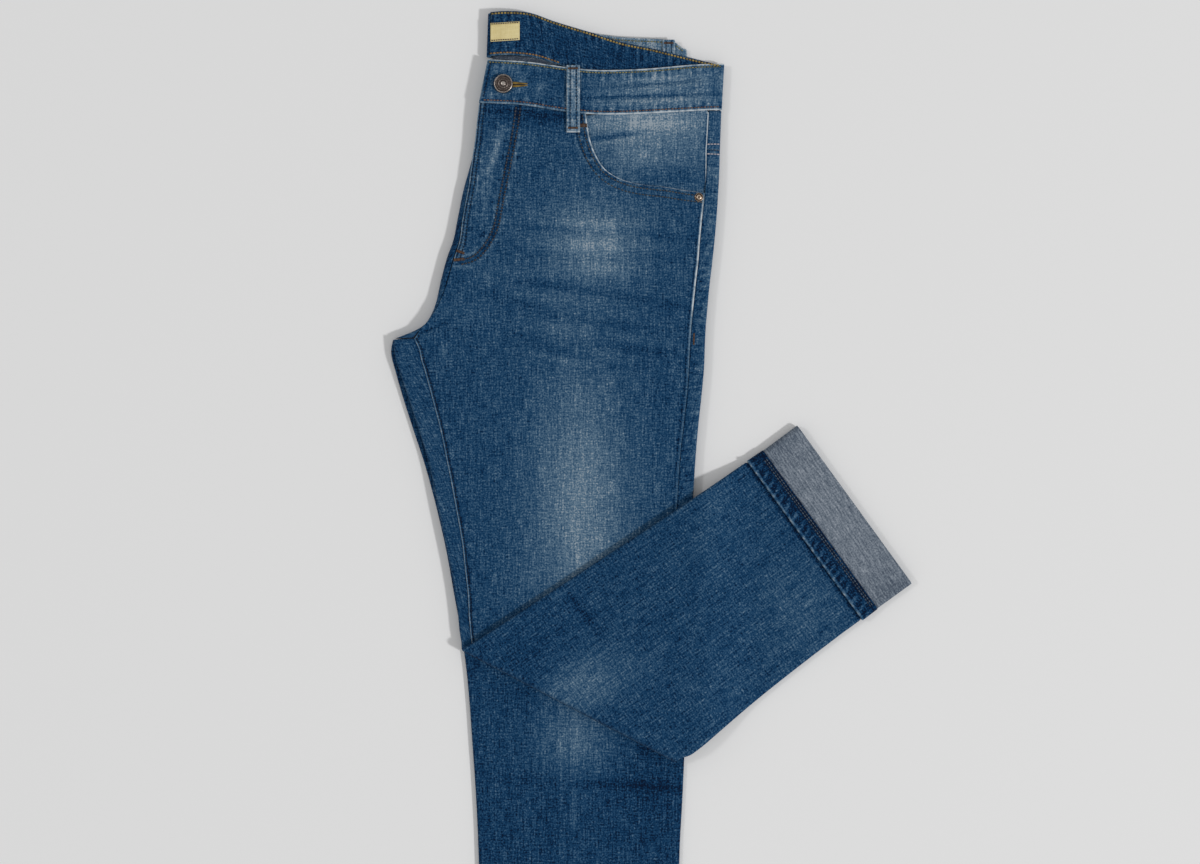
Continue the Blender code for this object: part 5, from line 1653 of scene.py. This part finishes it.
LABEL_TOP = 519.0
LABEL_FOOT = 501.7
LABEL_X = -140.2
LABEL_WIDTH = 27.4
LABEL_WALL = 1.0
LABEL_LEAN = 1.7
LABEL_WAVE = 0.18
LABEL_CURL = 0.5
LABEL_STOPS = (
    (0.0, screen(122, 108, 74)),
    (0.5, screen(192, 176, 124)),
    (1.0, screen(218, 206, 160)),
)
cream = denim_finish("cream tape", LABEL_STOPS, Grain(warp=0.4, weft=0.7, fine=0.5, broad=0.1))
label_height = UPPER_BAND + BAND_WALL + SEAM_GAP + LABEL_WALL / 2
grid = []
for y in beside(LABEL_TOP, LABEL_FOOT, 22):
    share = (LABEL_TOP - y) / (LABEL_TOP - LABEL_FOOT)
    line = []
    for x in beside(LABEL_X - LABEL_WIDTH / 2, LABEL_X + LABEL_WIDTH / 2, 34):
        across = (x - LABEL_X) / LABEL_WIDTH
        lift = LABEL_WAVE * sin(9 * across + 2 * share) + LABEL_CURL * across ** 2
        line.append((x, y + LABEL_LEAN * across, label_height + lift, 0, 0, 1, x, y))
    grid.append(line)
grid = np.array(grid)
from_long_edge = np.minimum(from_row(grid, 0), from_row(grid, -1))
label = cloth("label_tape", grid, LABEL_WALL, lie_above, fade_and_shade(0.68, (
    Patch(-128.0, 504.0, 8.0, 8.0, 0.0, 0.12),
    Patch(-150.0, 516.0, 8.0, 6.0, 0.0, -0.08),
)), line=-0.25 * stripe(from_long_edge, 0.9, 1.7), inside=cream, outside=cream, bulge=0.25)
dress("label")
plum_thread = thread_finish("plum thread", (14, 8, 22), (64, 40, 70))
label_rows = [[(LABEL_X - 13.2, y - LABEL_LEAN * 0.48), (LABEL_X + 13.2, y + LABEL_LEAN * 0.48)]
              for y in (LABEL_TOP - 0.8, LABEL_FOOT + 0.9)]
sew("label_stitches", label, [stitched(row, pitch=2.2, share=0.8) for row in label_rows], plum_thread, 0.9)


# Buttonhole and button: a keyhole slit edged in satin stitch, and the domed cap of a shank button that
# stands in it. The cap is pressed brass, dark in its rings and worn bright on its rim, with a painted
# highlight at its centre.

HOLE_Y = 459.4
HOLE_START = -134.0
HOLE_LENGTH = 15.0
HOLE_PITCH = 0.55
HOLE_TILT = -0.012
sides = []
for i, along in enumerate(np.arange(0.0, HOLE_LENGTH, HOLE_PITCH)):
    taper = 1 - 0.62 * (along / HOLE_LENGTH) ** 1.5
    for way in (-1, 1):
        start = (HOLE_START + along, HOLE_Y + way * 0.25 + HOLE_TILT * along)
        end = (HOLE_START + along + 0.25, start[1] + way * (2.5 * taper + 0.25 * (i % 2)))
        sides.append((start, end))
satin_thread = thread_finish("satin thread", (56, 46, 24), (150, 124, 64))
sew("buttonhole", waistband_left, [np.array(sides)], satin_thread, 0.68)
slit = [((HOLE_START, HOLE_Y), (HOLE_START + HOLE_LENGTH - 1.6, HOLE_Y + HOLE_TILT * HOLE_LENGTH))]
sew("buttonhole_slit", waistband_left, [np.array(slit)], navy_thread, 0.7)

BUTTON_X, BUTTON_Y = -141.7, 459.9
BUTTON = (
    ProfilePoint(7.6, 0.0, 0.1),
    ProfilePoint(8.9, 0.5, 0.2),
    ProfilePoint(9.15, 1.4, 0.4),
    ProfilePoint(9.1, 2.4, 0.5),
    ProfilePoint(8.7, 3.2, 0.75),
    ProfilePoint(8.1, 3.5, 0.8),
    ProfilePoint(7.5, 3.25, 0.3),
    ProfilePoint(7.1, 2.9, 0.1),
    ProfilePoint(6.6, 3.0, 0.45),
    ProfilePoint(5.6, 3.3, 0.5),
    ProfilePoint(5.1, 3.1, 0.2),
    ProfilePoint(4.6, 3.35, 0.5),
    ProfilePoint(3.6, 3.75, 0.55),
    ProfilePoint(3.0, 3.55, 0.1),
    ProfilePoint(2.5, 3.8, 0.3),
    ProfilePoint(1.6, 4.3, 0.9),
    ProfilePoint(0.8, 4.4, 1.0),
    ProfilePoint(0.0, 4.4, 1.0),
)
brass = metal_finish("aged brass", (30, 26, 26), (94, 84, 80), (200, 192, 184))
button_floor = lie_above(BUTTON_X, BUTTON_Y, BAND_STACK + SEAM_GAP)[2]
turned("button_cap", "button", BUTTON, BUTTON_X, BUTTON_Y, float(button_floor), brass)


# Turned-up hem: the leg's end is turned wrong side out into a cuff, and the stitched hem lies at the
# cuff's inner edge, round the leg.

CUFF_STEPS = 110


def cuff_grid(first, last, wall, count):
    """A band round the left leg's end, outside it."""
    tube = TUBE + 2 * (SEAM_GAP + wall)
    grow = SEAM_GAP + wall
    radius = (tube - wall) / 2
    grid = []
    for share in np.linspace(0, 1, count):
        row = np.array(first) + (np.array(last) - np.array(first)) * share
        way = (row[2:4] - row[:2]) / width_of(row)
        wide = (*(row[:2] - way * grow), *(row[2:4] + way * grow))
        width = width_of(wide)
        section = level(np.linspace(tube / 2, width - tube / 2, CUFF_STEPS), wall / 2, -1)
        section += arc(width - tube / 2, tube / 2, radius, -90, 90)
        section += level(np.linspace(width - tube / 2, tube / 2, CUFF_STEPS), tube - wall / 2, 1)[1:]
        section += arc(tube / 2, tube / 2, radius, 90, 270)[:-1]
        grid.append(laid(wide, section, UPPER - grow))
    return np.array(grid)


CUFF_FADE = (
    Patch(176.0, 44.0, 60.0, 12.0, -55.0, 0.02),
    Patch(206.0, 60.0, 110.0, 6.0, -54.0, -0.12),
    Patch(120.0, 118.0, 16.0, 16.0, 0.0, -0.08),
    Patch(232.0, -26.0, 20.0, 16.0, 0.0, -0.1),
)
hem_depth = HEM_FOOT.left_y - CUFF_MOUTH.left_y
gap = SEAM_GAP / 2 / hem_depth
turn_line = np.array(HEM_FOOT) + (np.array(CUFF_MOUTH) - np.array(HEM_FOOT)) * gap
hem_line = np.array(HEM_FOOT) - (np.array(CUFF_MOUTH) - np.array(HEM_FOOT)) * gap
left_cuff = cloth("cuff_left", cuff_grid(turn_line, CUFF_MOUTH, WALL, 15), WALL, lie_above,
                  fade_and_shade(0.55, CUFF_FADE), inner_tone=0.3, ring=True, inside=denim, outside=wrong_side)
dress("left_cuff")

# The hem is twisted a little as it was sewn, so it lies in slanting ripples that wear pale
RIPPLE_PITCH = 9.0
RIPPLE_SLANT = 7.0
SLANT_DEPTH = 18.0
RIPPLE_RISE = 0.5
RIDGE_WAVER = 0.6
RIDGE_RISE = 0.9
grid = cuff_grid(HEM_TOP, hem_line, HEM_WALL, 18)
from_ridge = from_row(grid, 0)
from_cuff = from_row(grid, -1)
steps = np.linalg.norm(np.diff(grid[0, :, :3], axis=0), axis=1)
around = np.concatenate([[0], np.cumsum(steps)])[None, :]
ripple = ripples(around + RIPPLE_SLANT * from_ridge / SLANT_DEPTH, RIPPLE_PITCH)
middle = stripe(from_ridge, 1.0, 9.0, 3.5)
ridge = 1 - smooth(0.8, 2.6, from_ridge + RIDGE_WAVER * ripple)
# The knee fold has turned the hem over, so the side that faced down is seen
on_top = facing_up(grid, -1)
line = sum([
    0.6 * middle * np.maximum(ripple, 0) ** 2 - 0.06 * middle,
    -0.08 * stripe(from_ridge, 3.0, 4.6, 0.8),
    -0.16 * stripe(from_cuff, 0.6, 4.6),
])
left_hem = cloth("hem_left", grid, HEM_WALL, lie_above, fade_and_shade(0.12, ()), inner_tone=0.3, ring=True,
                 inside=denim, bulge=0.5, rubbed=0.85 * ridge * (0.75 + 0.25 * ripple), line=line,
                 puckered=0.06 * middle,
                 proud=on_top * (RIPPLE_RISE * middle * ripple + RIDGE_RISE * ridge))
dress("left_hem")
over = slice(CUFF_STEPS + ARC_STEPS, 2 * CUFF_STEPS + ARC_STEPS - 1)
hem_rows = []
for row in (-3, -5):
    x, y, _ = lie_above(*grid[row, over, :3].T)
    hem_rows.append(stitched(np.stack([x, y], 1), pitch=3.4))
sew("hem_stitches_left", left_hem, hem_rows, slate_thread, 1.0)


# Floor, lights and camera: a seamless pale floor under a soft light from the lower right, with a
# weaker one from the left, seen straight down from as high as the photographer stood.

FLOOR_COLOUR = (0.8, 0.8, 0.8, 1.0)
FLOOR_REACH = 9.0
LIGHTS_AIM = Vector((0, 0.1, 0))
floor_mesh = bpy.data.meshes.new("floor")
corners = [(-FLOOR_REACH, -FLOOR_REACH, 0), (FLOOR_REACH, -FLOOR_REACH, 0),
           (FLOOR_REACH, FLOOR_REACH, 0), (-FLOOR_REACH, FLOOR_REACH, 0)]
floor_mesh.from_pydata(corners, [], [(0, 1, 2, 3)])
floor = put_in_scene("floor", floor_mesh)
paper = Finish("paper", Roughness=0.9, Specular_IOR_Level=0.1)
paper.shader.inputs["Base Color"].default_value = FLOOR_COLOUR
floor_mesh.materials.append(paper.made)
floor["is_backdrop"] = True


def softbox(name, place, size, power):
    light = bpy.data.lights.new(name, "AREA")
    light.shape = "DISK"
    light.size = size
    light.energy = power
    lamp = put_in_scene(name, light)
    lamp.location = place
    lamp.rotation_euler = (LIGHTS_AIM - Vector(place)).to_track_quat("-Z", "Y").to_euler()


softbox("key", (8.4, -3.2, 7.8), 1.1, 680.0)
softbox("fill", (-6.4, 1.6, 7.0), 1.2, 105.0)
world = bpy.data.worlds.new("studio")
world.use_nodes = True
room_light = world.node_tree.nodes["Background"].inputs
room_light["Color"].default_value = (1.0, 1.0, 1.0, 1.0)
room_light["Strength"].default_value = 0.48
bpy.context.scene.world = world
bpy.context.scene.view_settings.view_transform = "Standard"

camera = put_in_scene("camera", bpy.data.cameras.new("camera"))
camera.location = (-0.0495, 0.1278, 2.24)
camera.data.lens = 70.0
camera.data.sensor_width = 36.0
bpy.context.scene.camera = camera

low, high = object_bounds()
